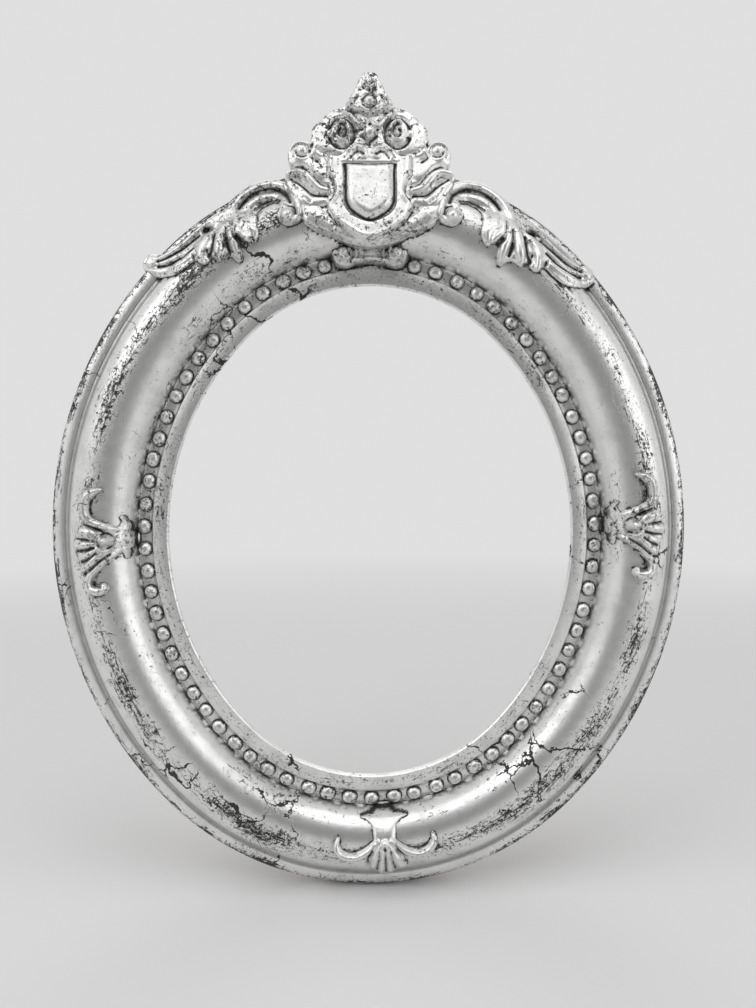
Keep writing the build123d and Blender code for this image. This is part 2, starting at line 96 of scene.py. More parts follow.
class FrameSizes(bpy.types.PropertyGroup):
    """Sizes of the frame's own pieces, those of the solids."""

    sight_width: FloatProperty(
        name="Sight width", description="Width of the oval opening", default=0.190, unit="LENGTH"
    )
    sight_height: FloatProperty(
        name="Sight height", description="Height of the oval opening", default=0.232, unit="LENGTH"
    )
    crest_lean: FloatProperty(
        name="Crest lean", description="How far the crest leans back", default=radians(12), subtype="ANGLE"
    )
    bead_count: IntProperty(name="Beads", description="Beads in a full course", default=70, min=8)
    bead_diameter: FloatProperty(
        name="Bead diameter", description="Diameter of one bead", default=0.0065, unit="LENGTH"
    )


class LeafFinish(bpy.types.PropertyGroup):
    """Colours and wear of the silver leaf, the wood and the fittings."""

    leaf: FloatVectorProperty(
        name="Leaf", description="Colour of the silver leaf", default=(0.83, 0.83, 0.82), subtype="COLOR"
    )
    # Tarnished leaf, also mixed in as painted shade in hollows, at joints and on the beads' flanks
    shade: FloatVectorProperty(
        name="Leaf in shade", description="Tarnished leaf", default=(0.50, 0.49, 0.47), subtype="COLOR"
    )
    ground: FloatVectorProperty(
        name="Ground",
        description="Dark ground under the leaf",
        default=(0.018, 0.016, 0.016),
        subtype="COLOR",
    )
    wear: FloatProperty(
        name="Wear", description="How much leaf is rubbed off the moulding", default=0.34, subtype="FACTOR"
    )
    wood: FloatVectorProperty(
        name="Wood", description="Bare wood of the back", default=(0.30, 0.19, 0.11), subtype="COLOR"
    )
    steel: FloatVectorProperty(
        name="Steel", description="Hanger, buttons and screws", default=(0.50, 0.48, 0.45), subtype="COLOR"
    )


class StageSetting(bpy.types.PropertyGroup):
    """Brightness of the backdrop, the room and the lamps."""

    backdrop: FloatProperty(
        name="Backdrop", description="Brightness of floor and background", default=0.74, subtype="FACTOR"
    )
    fill: FloatProperty(
        name="Fill", description="Brightness of the room round the object", default=0.42, subtype="FACTOR"
    )
    lamp_power: FloatProperty(
        name="Lamps", description="Power of the largest lamp", default=3.2, unit="POWER"
    )


# The oval: four arcs that meet on its diagonals

STEPS_PER_EIGHTH = 45


class Oval:
    """Places on the frame, by distance clockwise from the top and offset outward from the sight edge."""

    def __init__(self, sizes):
        half_width, half_height = sizes.sight_width / 2, sizes.sight_height / 2
        self.shift = (half_height - half_width) / (2 - sqrt(2))
        self.side = half_width + self.shift
        self.end = half_height - self.shift
        self.top = half_height

    def arcs(self):
        """Centre, turn and step count of each arc, clockwise from the top."""
        c = self.shift
        eighths = ((0, c, 1), (-c, 0, 2), (0, -c, 2), (c, 0, 2), (0, c, 1))
        return [(Vector((x, 0, z)), count * pi / 4, count * STEPS_PER_EIGHTH) for x, z, count in eighths]

    def length(self, line):
        """Length round the oval on the line at an offset."""
        return pi * (self.end + self.side + 2 * line)

    def seat(self, distance, offset, line):
        """Matrix of a place on the wall plane: x clockwise, y outward, z to the front."""
        remaining = distance % self.length(line)
        turned = 0.0
        for centre, turn, _ in self.arcs():
            radius = (self.end if abs(centre.x) < 1e-9 else self.side) + line
            if remaining <= turn * radius + 1e-9:
                break
            remaining -= turn * radius
            turned += turn
        turned += remaining / radius
        out = Vector((sin(turned), 0, cos(turned)))
        along = Vector((cos(turned), 0, -sin(turned)))
        place = centre + out * (radius - line + offset)
        return Matrix.Translation(place) @ Matrix((along, out, FRONT)).transposed().to_4x4()

    def spread(self, distance, offset, line):
        """Points of the front plane at places, all in millimetres."""
        c, end, side = self.shift / MM, self.end / MM, self.side / MM
        first, second = pi / 4 * (end + line), pi / 2 * (side + line)
        half = 2 * first + second
        signed = (distance + half) % (2 * half) - half
        away = np.abs(signed)
        on_side = (away > first) & (away < first + second)
        angle = np.where(
            on_side,
            pi / 4 + (away - first) / (side + line),
            np.where(away > first, 3 * pi / 4 + (away - first - second) / (end + line), away / (end + line)),
        )
        radius = np.where(on_side, side, end) + offset
        x = np.where(on_side, -c, 0) + radius * np.sin(angle)
        z = np.where(on_side, 0, np.where(away > first, -c, c)) + radius * np.cos(angle)
        return np.stack([x * np.sign(signed), x * 0, z], 1)

    def chart(self, points, line):
        """Distance from the top, clockwise and up to half the way round either way, and offset of points."""
        x, z, c = points[:, 0], points[:, 2], self.shift
        quarter_end, quarter_side = pi / 4 * (self.end + line), pi / 4 * (self.side + line)
        top = z > np.abs(x) + c
        bottom = z < -np.abs(x) - c
        ax = np.abs(x)
        distance = np.where(
            top,
            np.arctan2(ax, z - c) * (self.end + line),
            np.where(
                bottom,
                2 * (quarter_end + quarter_side) - np.arctan2(ax, -(z + c)) * (self.end + line),
                quarter_end + (pi / 4 - np.arctan2(z, ax + c)) * (self.side + line),
            ),
        )
        offset = np.where(
            top,
            np.hypot(x, z - c) - self.end,
            np.where(bottom, np.hypot(x, z + c) - self.end, np.hypot(ax + c, z) - self.side),
        )
        return distance * np.where(x < 0, -1, 1), offset


# Offset and rise of the moulding's swell at its start, its top and its end
SWELL_START = (14.2 * MM, 12.4 * MM)
SWELL_TOP = (29.25 * MM, 25.0 * MM)
SWELL_END = (44.3 * MM, 15.0 * MM)


def circle_through(first, second, third):
    """Centre and radius of the circle through three points."""
    ax, ay, bx, by, cx, cy = *first, *second, *third
    d = 2 * (ax * (by - cy) + bx * (cy - ay) + cx * (ay - by))
    a, b, c = ax * ax + ay * ay, bx * bx + by * by, cx * cx + cy * cy
    x = (a * (by - cy) + b * (cy - ay) + c * (ay - by)) / d
    y = (a * (cx - bx) + b * (ax - cx) + c * (bx - ax)) / d
    return x, y, hypot(ax - x, ay - y)


# Nodes of the materials


def add_node(tree, kind, inputs=None, **settings):
    """A node with its settings and its inputs, each a value or another node's socket."""
    node = tree.nodes.new(kind)
    for name, value in settings.items():
        setattr(node, name, value)
    for name, value in (inputs or {}).items():
        socket = node.inputs[name]
        if isinstance(value, bpy.types.NodeSocket):
            tree.links.new(value, socket)
        else:
            socket.default_value = value
    return node


def noise(tree, place, scale, detail=4.0, roughness=0.6, distortion=0.0):
    """The grey value of a noise texture."""
    return add_node(
        tree,
        "ShaderNodeTexNoise",
        {"Vector": place, "Scale": scale, "Detail": detail, "Roughness": roughness, "Distortion": distortion},
    ).outputs["Fac"]


def stepped(tree, value, low, high, to_low=0.0, to_high=1.0):
    """A smooth step from low to high."""
    return add_node(
        tree,
        "ShaderNodeMapRange",
        {"Value": value, "From Min": low, "From Max": high, "To Min": to_low, "To Max": to_high},
        interpolation_type="SMOOTHSTEP",
    ).outputs["Result"]


def calc(tree, operation, first, second=0.0, third=0.0, clamp=False):
    """One sum on grey values."""
    return add_node(
        tree, "ShaderNodeMath", {0: first, 1: second, 2: third}, operation=operation, use_clamp=clamp
    ).outputs["Value"]


def blend_colour(tree, share, first, second, kind="MIX"):
    """A mix of two colours."""
    return add_node(
        tree, "ShaderNodeMix", {0: share, 6: first, 7: second}, data_type="RGBA", blend_type=kind
    ).outputs[2]


def stretched(tree, place, scale):
    """A place scaled along each axis."""
    return add_node(tree, "ShaderNodeMapping", {"Vector": place, "Scale": scale}).outputs["Vector"]


def kept_value(tree, name):
    """A value that is kept for each vertex."""
    return add_node(tree, "ShaderNodeAttribute", attribute_name=name).outputs["Fac"]


def group_of(name, inputs, outputs, fill):
    """A node group, filled on first use. Its sockets are given by label and kind."""
    if name not in bpy.data.node_groups:
        tree = bpy.data.node_groups.new(name, "ShaderNodeTree")
        for way, sockets in (("INPUT", inputs), ("OUTPUT", outputs)):
            for label, kind in sockets.items():
                tree.interface.new_socket(label, in_out=way, socket_type="NodeSocket" + kind)
        results = fill(tree, tree.nodes.new("NodeGroupInput").outputs)
        wanted = tree.nodes.new("NodeGroupOutput").inputs
        for label, value in results.items():
            tree.links.new(value, wanted[label])
    return bpy.data.node_groups[name]


LEAF_INPUTS = {
    "Place": "Vector",
    "Streak place": "Vector",
    "Hollow and shade": "Float",
    "Wear": "Float",
    "Cracks": "Float",
    "Leaf": "Color",
    "Shade": "Color",
    "Ground": "Color",
}
STUFF_OUTPUTS = {"Colour": "Color", "Roughness": "Float", "Height": "Float"}


def worn_leaf(tree, given):
    """Silver leaf over a dark ground: flecks, cracks and rubbed patches, and darker by the hollow value: the
    ground and tarnish in hollows and at joints, and painted shade there and on the beads' flanks.
    """
    place = given["Place"]
    patches = noise(tree, place, 26, 4, 0.6)
    fine = noise(tree, place, 620, 9, 0.8, 0.3)
    streaks = noise(tree, given["Streak place"], 1.0, 8, 0.8, 0.4)
    flecks = calc(tree, "MAXIMUM", fine, calc(tree, "SUBTRACT", streaks, 0.015))
    patchy = calc(tree, "MULTIPLY", calc(tree, "SUBTRACT", patches, 0.5), 1.1)
    worn = calc(tree, "ADD", given["Wear"], patchy)
    limit = calc(tree, "SUBTRACT", 0.695, calc(tree, "MULTIPLY", worn, 0.27))
    rubbed = stepped(tree, calc(tree, "SUBTRACT", flecks, limit), 0.0, 0.022)

    wander = add_node(
        tree, "ShaderNodeTexNoise", {"Vector": place, "Scale": 70.0, "Detail": 5.0, "Roughness": 0.6}
    ).outputs["Color"]
    bent = add_node(
        tree,
        "ShaderNodeVectorMath",
        {0: wander, 1: (0.022, 0.022, 0.022), 2: place},
        operation="MULTIPLY_ADD",
    ).outputs["Vector"]
    seams = add_node(
        tree, "ShaderNodeTexVoronoi", {"Vector": bent, "Scale": 34.0}, feature="DISTANCE_TO_EDGE"
    ).outputs["Distance"]
    wide = calc(tree, "MULTIPLY", stepped(tree, noise(tree, place, 31, 2, 0.5), 0.50, 0.74), 0.034)
    gap = calc(tree, "SUBTRACT", calc(tree, "MULTIPLY", wide, given["Cracks"]), seams)
    crack = calc(tree, "MULTIPLY", stepped(tree, gap, -0.003, 0.006), stepped(tree, wide, 0.0, 0.004))

    grit = calc(tree, "MULTIPLY", calc(tree, "SUBTRACT", fine, 0.5), 1.7)
    # The hollow value makes the dark ground show: black ground in hollows and at joints, and painted shade
    # there and on the beads' flanks
    ground_in_hollows_and_shade = stepped(tree, calc(tree, "ADD", given["Hollow and shade"], grit), 0.46, 0.62)
    bare_and_shaded = calc(tree, "MAXIMUM", calc(tree, "MAXIMUM", rubbed, crack), ground_in_hollows_and_shade)
    cloudy = noise(tree, place, 95, 6, 0.62)
    # The hollow value also mixes in the leaf in shade: tarnish in hollows and painted shade; the cloudy noise
    # adds random tarnish
    shaded = calc(tree, "MULTIPLY", given["Hollow and shade"], 0.75)
    tarnish_and_shade = calc(tree, "ADD", shaded, stepped(tree, cloudy, 0.42, 0.80, 0.0, 0.55), clamp=True)
    silver = blend_colour(tree, tarnish_and_shade, given["Leaf"], given["Shade"])
    rough = calc(tree, "ADD", 0.22, calc(tree, "MULTIPLY", cloudy, 0.22))
    soft = noise(tree, place, 210, 3, 0.5)
    height = calc(tree, "MULTIPLY_ADD", bare_and_shaded, -0.35, calc(tree, "MULTIPLY", soft, 0.8))
    return {
        "Colour": blend_colour(tree, bare_and_shaded, silver, given["Ground"]),
        "Metal": calc(tree, "MULTIPLY_ADD", bare_and_shaded, -0.92, 0.92),
        "Roughness": calc(tree, "MULTIPLY_ADD", bare_and_shaded, 0.2, rough),
        "Height": calc(tree, "MULTIPLY_ADD", fine, 0.25, height),
    }


def old_softwood(tree, given):
    """Long grain with darker late wood, pores and stains."""
    long_place = stretched(tree, given["Place"], (14.0, 60.0, 330.0))
    grain = noise(tree, long_place, 1.0, 6, 0.6, 1.2)
    pores = noise(tree, long_place, 5.0, 4, 0.7)
    stains = noise(tree, given["Place"], 22, 5, 0.6)
    late = stepped(tree, grain, 0.40, 0.66, 0.0, 0.45)
    dark = calc(tree, "ADD", late, stepped(tree, stains, 0.40, 0.75, 0.0, 0.50))
    deep = blend_colour(tree, 1.0, given["Wood"], (0.30, 0.24, 0.20, 1), "MULTIPLY")
    return {
        "Colour": blend_colour(tree, dark, given["Wood"], deep),
        "Roughness": stepped(tree, grain, 0.2, 0.8, 0.62, 0.82),
        "Height": calc(tree, "ADD", grain, calc(tree, "MULTIPLY", pores, 0.5)),
    }


def dull_steel(tree, given):
    """Dull plated steel with brown spots and scratches."""
    lines = noise(tree, stretched(tree, given["Place"], (2600.0, 300.0, 260.0)), 1.0, 3, 0.6)
    spots = noise(tree, given["Place"], 430, 6, 0.7)
    rust = stepped(tree, spots, 0.56, 0.70)
    scratched = stepped(tree, lines, 0.35, 0.7, 0.0, 0.4)
    tone = blend_colour(tree, scratched, given["Steel"], (0.23, 0.22, 0.21, 1))
    return {
        "Colour": blend_colour(tree, rust, tone, (0.13, 0.075, 0.045, 1)),
        "Roughness": stepped(tree, calc(tree, "ADD", spots, rust), 0.3, 1.5, 0.32, 0.7),
        "Height": calc(tree, "ADD", lines, calc(tree, "MULTIPLY", rust, 0.6)),
    }


def cleared(owner):
    """The emptied node tree of a material or a world."""
    owner.use_nodes = True
    owner.node_tree.nodes.clear()
    return owner.node_tree


def colour(value):
    """A colour with full alpha."""
    return (*value, 1.0)


def grey(value):
    """A grey with full alpha."""
    return colour([value] * 3)


BUMP_STRENGTH = 0.5


def dress(tree, group, inputs, bump_depth, metallic=None):
    """Adds a group, its shader and the output to a material. Without a value the group tells the metal."""
    stuff = add_node(tree, "ShaderNodeGroup", inputs, node_tree=group).outputs
    bump = add_node(
        tree,
        "ShaderNodeBump",
        {"Height": stuff["Height"], "Strength": BUMP_STRENGTH, "Distance": bump_depth},
    )
    shader = add_node(
        tree,
        "ShaderNodeBsdfPrincipled",
        {
            "Base Color": stuff["Colour"],
            "Metallic": stuff["Metal"] if metallic is None else metallic,
            "Roughness": stuff["Roughness"],
            "Normal": bump.outputs["Normal"],
        },
    )
    add_node(tree, "ShaderNodeOutputMaterial", {"Surface": shader.outputs["BSDF"]})


def silvered(name, wear, cracks, streak_scale=None, bands=()):
    """Material of silver leaf. Bands are rows of (offset, half width, amount) with more or less wear."""
    if name in bpy.data.materials:
        return bpy.data.materials[name]
    looks = bpy.context.scene.oval_frame_finish
    material = bpy.data.materials.new(name)
    tree = cleared(material)
    place = add_node(tree, "ShaderNodeTexCoord").outputs["Object"]
    amount = wear
    if bands:
        across, along = kept_value(tree, "across"), kept_value(tree, "along")
        streak_place = add_node(
            tree,
            "ShaderNodeCombineXYZ",
            {"X": calc(tree, "MULTIPLY", along, 130.0), "Y": calc(tree, "MULTIPLY", across, 800.0)},
        ).outputs["Vector"]
        wobble = calc(tree, "MULTIPLY_ADD", noise(tree, place, 60, 3, 0.6), 0.006, -0.003)
        wandering = calc(tree, "ADD", across, wobble)
        for middle, half, more in bands:
            away = calc(tree, "ABSOLUTE", calc(tree, "SUBTRACT", wandering, middle))
            amount = calc(tree, "ADD", stepped(tree, away, 0.0, half, more, 0.0), amount)
    else:
        streak_place = stretched(tree, place, streak_scale)
    inputs = {
        "Place": place,
        "Streak place": streak_place,
        # The hollow value carries the ground and tarnish of hollows and joints, and painted shade
        "Hollow and shade": kept_value(tree, "hollow_and_shade"),
        "Wear": amount,
        "Cracks": cracks,
        "Leaf": colour(looks.leaf),
        "Shade": colour(looks.shade),
        "Ground": colour(looks.ground),
    }
    group = group_of("worn silver leaf", LEAF_INPUTS, {**STUFF_OUTPUTS, "Metal": "Float"}, worn_leaf)
    dress(tree, group, inputs, 0.4 * MM)
    return material


def plain_stuff(name, group_name, fill, label, value, bump_depth, metallic):
    """Material of wood or steel in one colour of the finish."""
    if name in bpy.data.materials:
        return bpy.data.materials[name]
    material = bpy.data.materials.new(name)
    tree = cleared(material)
    place = add_node(tree, "ShaderNodeTexCoord").outputs["Object"]
    group = group_of(group_name, {"Place": "Vector", label: "Color"}, STUFF_OUTPUTS, fill)
    dress(tree, group, {"Place": place, label: colour(value)}, bump_depth, metallic)
    return material


# Bands of wear on the moulding: the offset of the middle, the half width, and more or less wear. It is
# rubbed just outside the swell's top and along the outer edge
WEAR_BANDS = (
    (33.0 * MM, 8.0 * MM, 0.33),
    (53.5 * MM, 4.5 * MM, 0.44),
    (3.5 * MM, 5.0 * MM, 0.14),
    (10.7 * MM, 4.0 * MM, 0.12),
    (24.5 * MM, 4.5 * MM, -0.25),
    (46.0 * MM, 2.5 * MM, -0.2),
)


def moulding_leaf():
    """Leaf of the moulding."""
    return silvered("moulding_leaf", bpy.context.scene.oval_frame_finish.wear, 1.0, bands=WEAR_BANDS)


def ornament_leaf():
    """Leaf of the carved ornament."""
    return silvered("ornament_leaf", 0.46, 0.5, (300, 300, 300))


def bead_leaf():
    """Leaf of the beads."""
    return silvered("bead_leaf", 0.46, 0.2, (380, 380, 380))


def bare_wood():
    """Wood of the back."""
    looks = bpy.context.scene.oval_frame_finish
    return plain_stuff("old_wood", "old softwood", old_softwood, "Wood", looks.wood, 0.3 * MM, 0.0)


def fitting_steel():
    """Steel of the hanger, buttons and screws."""
    looks = bpy.context.scene.oval_frame_finish
    return plain_stuff("fitting_steel", "dull steel", dull_steel, "Steel", looks.steel, 0.06 * MM, 0.9)


# Making and finishing pieces


def finished(name, bm, material, nodes, body="frame", sharp=None):
    """A piece from a bmesh, on its body, in its finish and in place of its nodes."""
    mesh = bpy.data.meshes.new(name)
    bm.to_mesh(mesh)
    bm.free()
    return finished_mesh(name, mesh, material, nodes, body, sharp)


def finished_mesh(name, mesh, material, nodes, body="frame", sharp=None):
    """A piece from a mesh, on its body, in its finish and in place of its nodes."""
    mesh.name = name
    mesh.materials.clear()
    mesh.materials.append(material)
    mesh.shade_smooth()
    if sharp:
        mesh.set_sharp_from_angle(angle=radians(sharp))
    piece = bpy.data.objects.new(name, mesh)
    bpy.context.scene.collection.objects.link(piece)
    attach(piece, body)
    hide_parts(*nodes)
    return piece


def run_together(bm, voxel, smoothing):
    """One closed skin over overlapping forms, smoothed."""
    bmesh.ops.recalc_face_normals(bm, faces=bm.faces[:])
    mesh = bpy.data.meshes.new("forms")
    bm.to_mesh(mesh)
    bm.free()
    draft = bpy.data.objects.new("forms", mesh)
    bpy.context.scene.collection.objects.link(draft)
    remesh = draft.modifiers.new("skin", "REMESH")
    remesh.mode = "VOXEL"
    remesh.voxel_size = voxel
    soften = draft.modifiers.new("soften", "SMOOTH")
    soften.factor = 0.5
    soften.iterations = smoothing
    bpy.context.view_layer.update()
    done = bpy.data.meshes.new_from_object(draft.evaluated_get(bpy.context.evaluated_depsgraph_get()))
    bpy.data.objects.remove(draft)
    bpy.data.meshes.remove(mesh)
    return done


def points_of(mesh):
    """Places and normals of a mesh's vertices."""
    places = np.empty(len(mesh.vertices) * 3)
    normals = np.empty(len(mesh.vertices) * 3)
    mesh.vertices.foreach_get("co", places)
    mesh.vertex_normals.foreach_get("vector", normals)
    return places.reshape(-1, 3), normals.reshape(-1, 3)


def set_attribute(mesh, name, values):
    """Keeps one value per vertex for the materials."""
    layer = mesh.attributes.get(name) or mesh.attributes.new(name, "FLOAT", "POINT")
    layer.data.foreach_set("value", values.astype(np.float32))


def distance_to_line(x, y, line):
    """Distance of chart places from a run of straight pieces, and how far along it they lie, from 0 to 1."""
    best = np.full(len(x), 1e9)
    share = np.zeros(len(x))
    for number, ((ax, ay), (bx, by)) in enumerate(zip(line, line[1:])):
        dx, dy = bx - ax, by - ay
        t = np.clip(((x - ax) * dx + (y - ay) * dy) / max(dx * dx + dy * dy, 1e-12), 0, 1)
        away = np.hypot(x - ax - t * dx, y - ay - t * dy)
        share = np.where(away < best, (number + t) / (len(line) - 1), share)
        best = np.minimum(best, away)
    return best, share


def neighbours_mean(values, edges, count):
    """Mean of each vertex's neighbours."""
    total = np.zeros_like(values)
    for column in range(values.shape[1]):
        total[:, column] = np.bincount(edges[:, 0], values[edges[:, 1], column], count)
        total[:, column] += np.bincount(edges[:, 1], values[edges[:, 0], column], count)
    degree = np.bincount(edges.ravel(), minlength=count).astype(float)
    return total / np.maximum(degree, 1)[:, None]


# A piece is searched for out to this many times its reach, and darkens the other by this share where they
# meet, as dark ground at the joint and as painted shade
JOINT_SEARCH = 2.5
JOINT_SHADE = 0.75


def mark_hollows_and_joint_shade(piece, others, rounds, depth, reach):
    """Keeps in an attribute how hollow the surface is, and how near to the pieces it meets, for the leaf's
    dark ground and tarnish there and for painted shade.
    """
    mesh = piece.data
    places, normals = points_of(mesh)
    edges = np.empty(len(mesh.edges) * 2, np.int32)
    mesh.edges.foreach_get("vertices", edges)
    edges = edges.reshape(-1, 2)
    smooth = places.copy()
    for _ in range(rounds):
        smooth = (smooth + neighbours_mean(smooth, edges, len(places))) / 2
    hollow_and_shade = np.clip(np.einsum("ij,ij->i", smooth - places, normals) / depth, 0, 1)
    trees = [tree_of(other) for other in others]
    near = np.zeros(len(places))
    for number, place in enumerate(places):
        for tree in trees:
            found = tree.find_nearest(Vector(place), reach * JOINT_SEARCH)
            if found[0] is not None:
                near[number] = max(near[number], np.exp(-((found[3] / reach) ** 2)))
    set_attribute(mesh, "hollow_and_shade", np.clip(hollow_and_shade + near * JOINT_SHADE, 0, 1))


def tree_of(piece):
    """Search tree of a piece's faces."""
    mesh = piece.data
    mesh.calc_loop_triangles()
    return BVHTree.FromPolygons(
        [vert.co for vert in mesh.vertices], [tuple(face.vertices) for face in mesh.loop_triangles]
    )


# The pieces

# The moulding's section as offset and rise in millimetres: back, sight lip and bead channel before the
# swell, then the cove, quirk and rim after it
BEFORE_SWELL = (
    (54.0, 8.0), (0.0, 8.0), (0.0, 10.6), (0.5, 11.1), (6.7, 11.5), (7.2, 11.2), (7.5, 10.4),
    (8.2, 10.1), (9.4, 10.0), (10.7, 10.0), (12.0, 10.0), (13.2, 10.1), (13.9, 10.6),
)
AFTER_SWELL = (
    (44.9, 13.7), (45.9, 12.6), (46.9, 11.9), (47.2, 11.9), (47.3, 12.3), (47.6, 12.6), (48.4, 12.7),
    (50.6, 12.6), (52.3, 12.0), (53.4, 10.9), (53.9, 9.6), (54.0, 8.6),
)
SWELL_STEPS = 26
MIDDLE_LINE = 27 * MM


class OVALFRAME_OT_moulding(bpy.types.Operator):
    """Smooth ring of moulding: sight lip, bead channel, swell, cove and rim"""

    bl_idname = "oval_frame.moulding"
    bl_label = "Moulding"

    def execute(self, context):
        oval = Oval(context.scene.oval_frame_sizes)
        bm = bmesh.new()

        def corner(offset, rise):
            return bm.verts.new((0, -rise, oval.top + offset))

        x, y, _ = circle_through(SWELL_START, SWELL_TOP, SWELL_END)
        first, last = (atan2(rise - y, offset - x) for offset, rise in (SWELL_START, SWELL_END))
        made = bmesh.ops.spin(
            bm,
            geom=[corner(*SWELL_START)],
            cent=(0, -y, oval.top + x),
            axis=(-1, 0, 0),
            angle=first - last,
            steps=SWELL_STEPS,
        )
        arc = sorted(bm.verts, key=lambda vert: vert.co.z)
        if (made["geom_last"][0].co - Vector((0, -SWELL_END[1], oval.top + SWELL_END[0]))).length > 1e-5:
            raise RuntimeError("the swell's arc does not end at the cove")
        before, after = ([corner(o * MM, r * MM) for o, r in part] for part in (BEFORE_SWELL, AFTER_SWELL))
        verts = before + arc + after
        for one, other in zip(verts, verts[1:] + verts[:1]):
            if bm.edges.get((one, other)) is None:
                bm.edges.new((one, other))
        loop = bm.verts[:] + bm.edges[:]
        for centre, turn, steps in oval.arcs():
            made = bmesh.ops.spin(bm, geom=loop, cent=centre, axis=(0, 1, 0), angle=turn, steps=steps)
            loop = made["geom_last"]
        bmesh.ops.remove_doubles(bm, verts=bm.verts[:], dist=1e-6)
        bmesh.ops.recalc_face_normals(bm, faces=bm.faces[:])
        nodes = ("moulding_left", "moulding_right")
        piece = finished("moulding", bm, moulding_leaf(), nodes, sharp=40)
        distance, offset = oval.chart(points_of(piece.data)[0], MIDDLE_LINE)
        set_attribute(piece.data, "along", distance)
        set_attribute(piece.data, "across", offset)
        return {"FINISHED"}


# The line of the beads and the rise of their middles, and how far their skin strays in millimetres
BEAD_LINE = 10.7 * MM
BEAD_RISE = 9.6 * MM
BEAD_STRAY = 0.035


class OVALFRAME_OT_beads(bpy.types.Operator):
    """Course of beads, each a little different, in the moulding's channel"""

    bl_idname = "oval_frame.beads"
    bl_label = "Bead course"

    def execute(self, context):
        sizes = context.scene.oval_frame_sizes
        oval = Oval(sizes)
        chance = Random(7)
        radius = sizes.bead_diameter / 2
        length = oval.length(BEAD_LINE)
        bm = bmesh.new()
        # The three places at the top are left to the bridge scroll
        for number in range(2, sizes.bead_count - 1):
            distance = length * (number + chance.uniform(-0.05, 0.05)) / sizes.bead_count
            seat = oval.seat(distance, BEAD_LINE + chance.uniform(-0.2, 0.2) * MM, BEAD_LINE)
            turn = Matrix.Rotation(chance.uniform(-0.25, 0.25), 4, "X")
            radii = (
                radius * chance.uniform(1.10, 1.30),
                radius * chance.uniform(1.02, 1.12),
                chance.uniform(3.4, 3.8) * MM,
            )
            form = seat @ Matrix.Translation((0, 0, BEAD_RISE)) @ turn @ Matrix.Diagonal((*radii, 1.0))
            bmesh.ops.create_uvsphere(bm, u_segments=20, v_segments=14, radius=1.0, matrix=form)
        for vert in bm.verts:
            vert.co += Vector([chance.uniform(-1, 1) for _ in range(3)]) * BEAD_STRAY * MM
        finished("bead_course", bm, bead_leaf(), ("bead_strip_left", "bead_strip_right"))
        return {"FINISHED"}


CREST_RISE = 25.5 * MM


def crest_matrix(sizes):
    """Matrix of the crest's face: x across, y up and back, z off its face."""
    lean = sizes.crest_lean
    axes = Matrix(((1, 0, 0), (0, sin(lean), cos(lean)), (0, -cos(lean), sin(lean)))).transposed()
    return Matrix.Translation((0, -CREST_RISE, sizes.sight_height / 2 + SWELL_TOP[0])) @ axes.to_4x4()


# Relief: a sheet raised by a list of forms, in millimetres, seated on a surface


def curve(points, closed=False, steps=5):
    """Smooth line through points."""
    line = np.array(points, float)
    if closed:
        line = np.vstack([line[-1], line, line[:2]])
    else:
        line = np.vstack([2 * line[0] - line[1], line, 2 * line[-1] - line[-2]])
    t = np.linspace(0, 1, steps, endpoint=False)[:, None]
    runs = [
        b + t * (c - a) / 2 + t**2 * (a - 2.5 * b + 2 * c - d / 2) + t**3 * (3 * b - 3 * c + d - a) / 2
        for a, b, c, d in zip(line, line[1:], line[2:], line[3:])
    ]
    return np.vstack([*runs, line[-2:-1]])


def ellipse(middle, across, up, start=0.0, turn=2 * pi, end_share=1.0, count=25):
    """Ellipse, or a spiral whose size ends at a share of its start."""
    angles = np.linspace(start, start + turn, count)
    size = np.linspace(1.0, end_share, count)
    return np.stack([middle[0] + across * size * np.cos(angles), middle[1] + up * size * np.sin(angles)], 1)


def mirrored(points):
    """Closed outline from its right half, top to bottom."""
    half = np.array(points, float)
    other = half[::-1] * (-1, 1)
    return np.vstack([half, other[np.abs(other[:, 0]) > 1e-6]])


def depth_inside(x, y, outline):
    """Distance of places from an outline, positive inside it."""
    away, _ = distance_to_line(x, y, np.vstack([outline, outline[:1]]))
    inside = np.zeros(x.shape, bool)
    for (ax, ay), (bx, by) in zip(outline, np.roll(outline, -1, 0)):
        if ay != by:
            inside ^= ((ay > y) != (by > y)) & (x < (bx - ax) * (y - ay) / (by - ay) + ax)
    return np.where(inside, away, -away)


# In millimetres: the lift of a sheet where no form lies, the softness of the seam between two forms,
# and the lift below which the sheet is cut away
NO_FORM = -4.0
SEAM = 0.12
CUT_BELOW = -0.3


def joined(lift, value):
    """The higher of two lifts, with a soft seam between them."""
    return np.logaddexp(lift / SEAM, value / SEAM) * SEAM


def lifts(x, y, forms):
    """Lift of a sheet: slabs, pits, troughs, rolls and balls, in order."""
    lift = np.full(x.shape, NO_FORM)
    for kind, line, *size in forms:
        line = np.array(line, float)
        if kind in ("slab", "pit"):
            level, edge = size
            t = np.clip(depth_inside(x, y, curve(line, True)) / edge, 0, 1)
            if kind == "slab":
                lift = joined(lift, np.where(t > 0, level * np.sqrt(1 - (1 - t) ** 2), NO_FORM))
            else:
                lift = lift + (np.minimum(lift, level) - lift) * t * t * (3 - 2 * t)
        elif kind == "trough":
            half, depth = size
            away, _ = distance_to_line(x, y, curve(line))
            lift = lift - depth * np.exp(-((away / half) ** 2)) * np.clip(lift + 1, 0, 1)
        else:
            radii, tops = (np.atleast_1d(np.array(s, float)) for s in size)
            if kind == "ball":
                away, share = np.hypot(x - line[0], y - line[1]), np.zeros(x.shape)
            else:
                away, share = distance_to_line(x, y, curve(line))
            radius = np.interp(share, np.linspace(0, 1, len(radii)), radii)
            top = np.interp(share, np.linspace(0, 1, len(tops)), tops)
            t = np.clip(away / radius, 0, 1)
            lift = joined(lift, np.where(t < 1, top * np.sqrt(1 - t**2), NO_FORM))
    return lift


def both_sides(forms):
    """Forms and their mirror images."""
    rows = []
    for kind, line, *size in forms:
        rows.append((kind, line, *size))
        rows.append((kind, np.array(line, float) * (-1, 1), *size))
    return rows


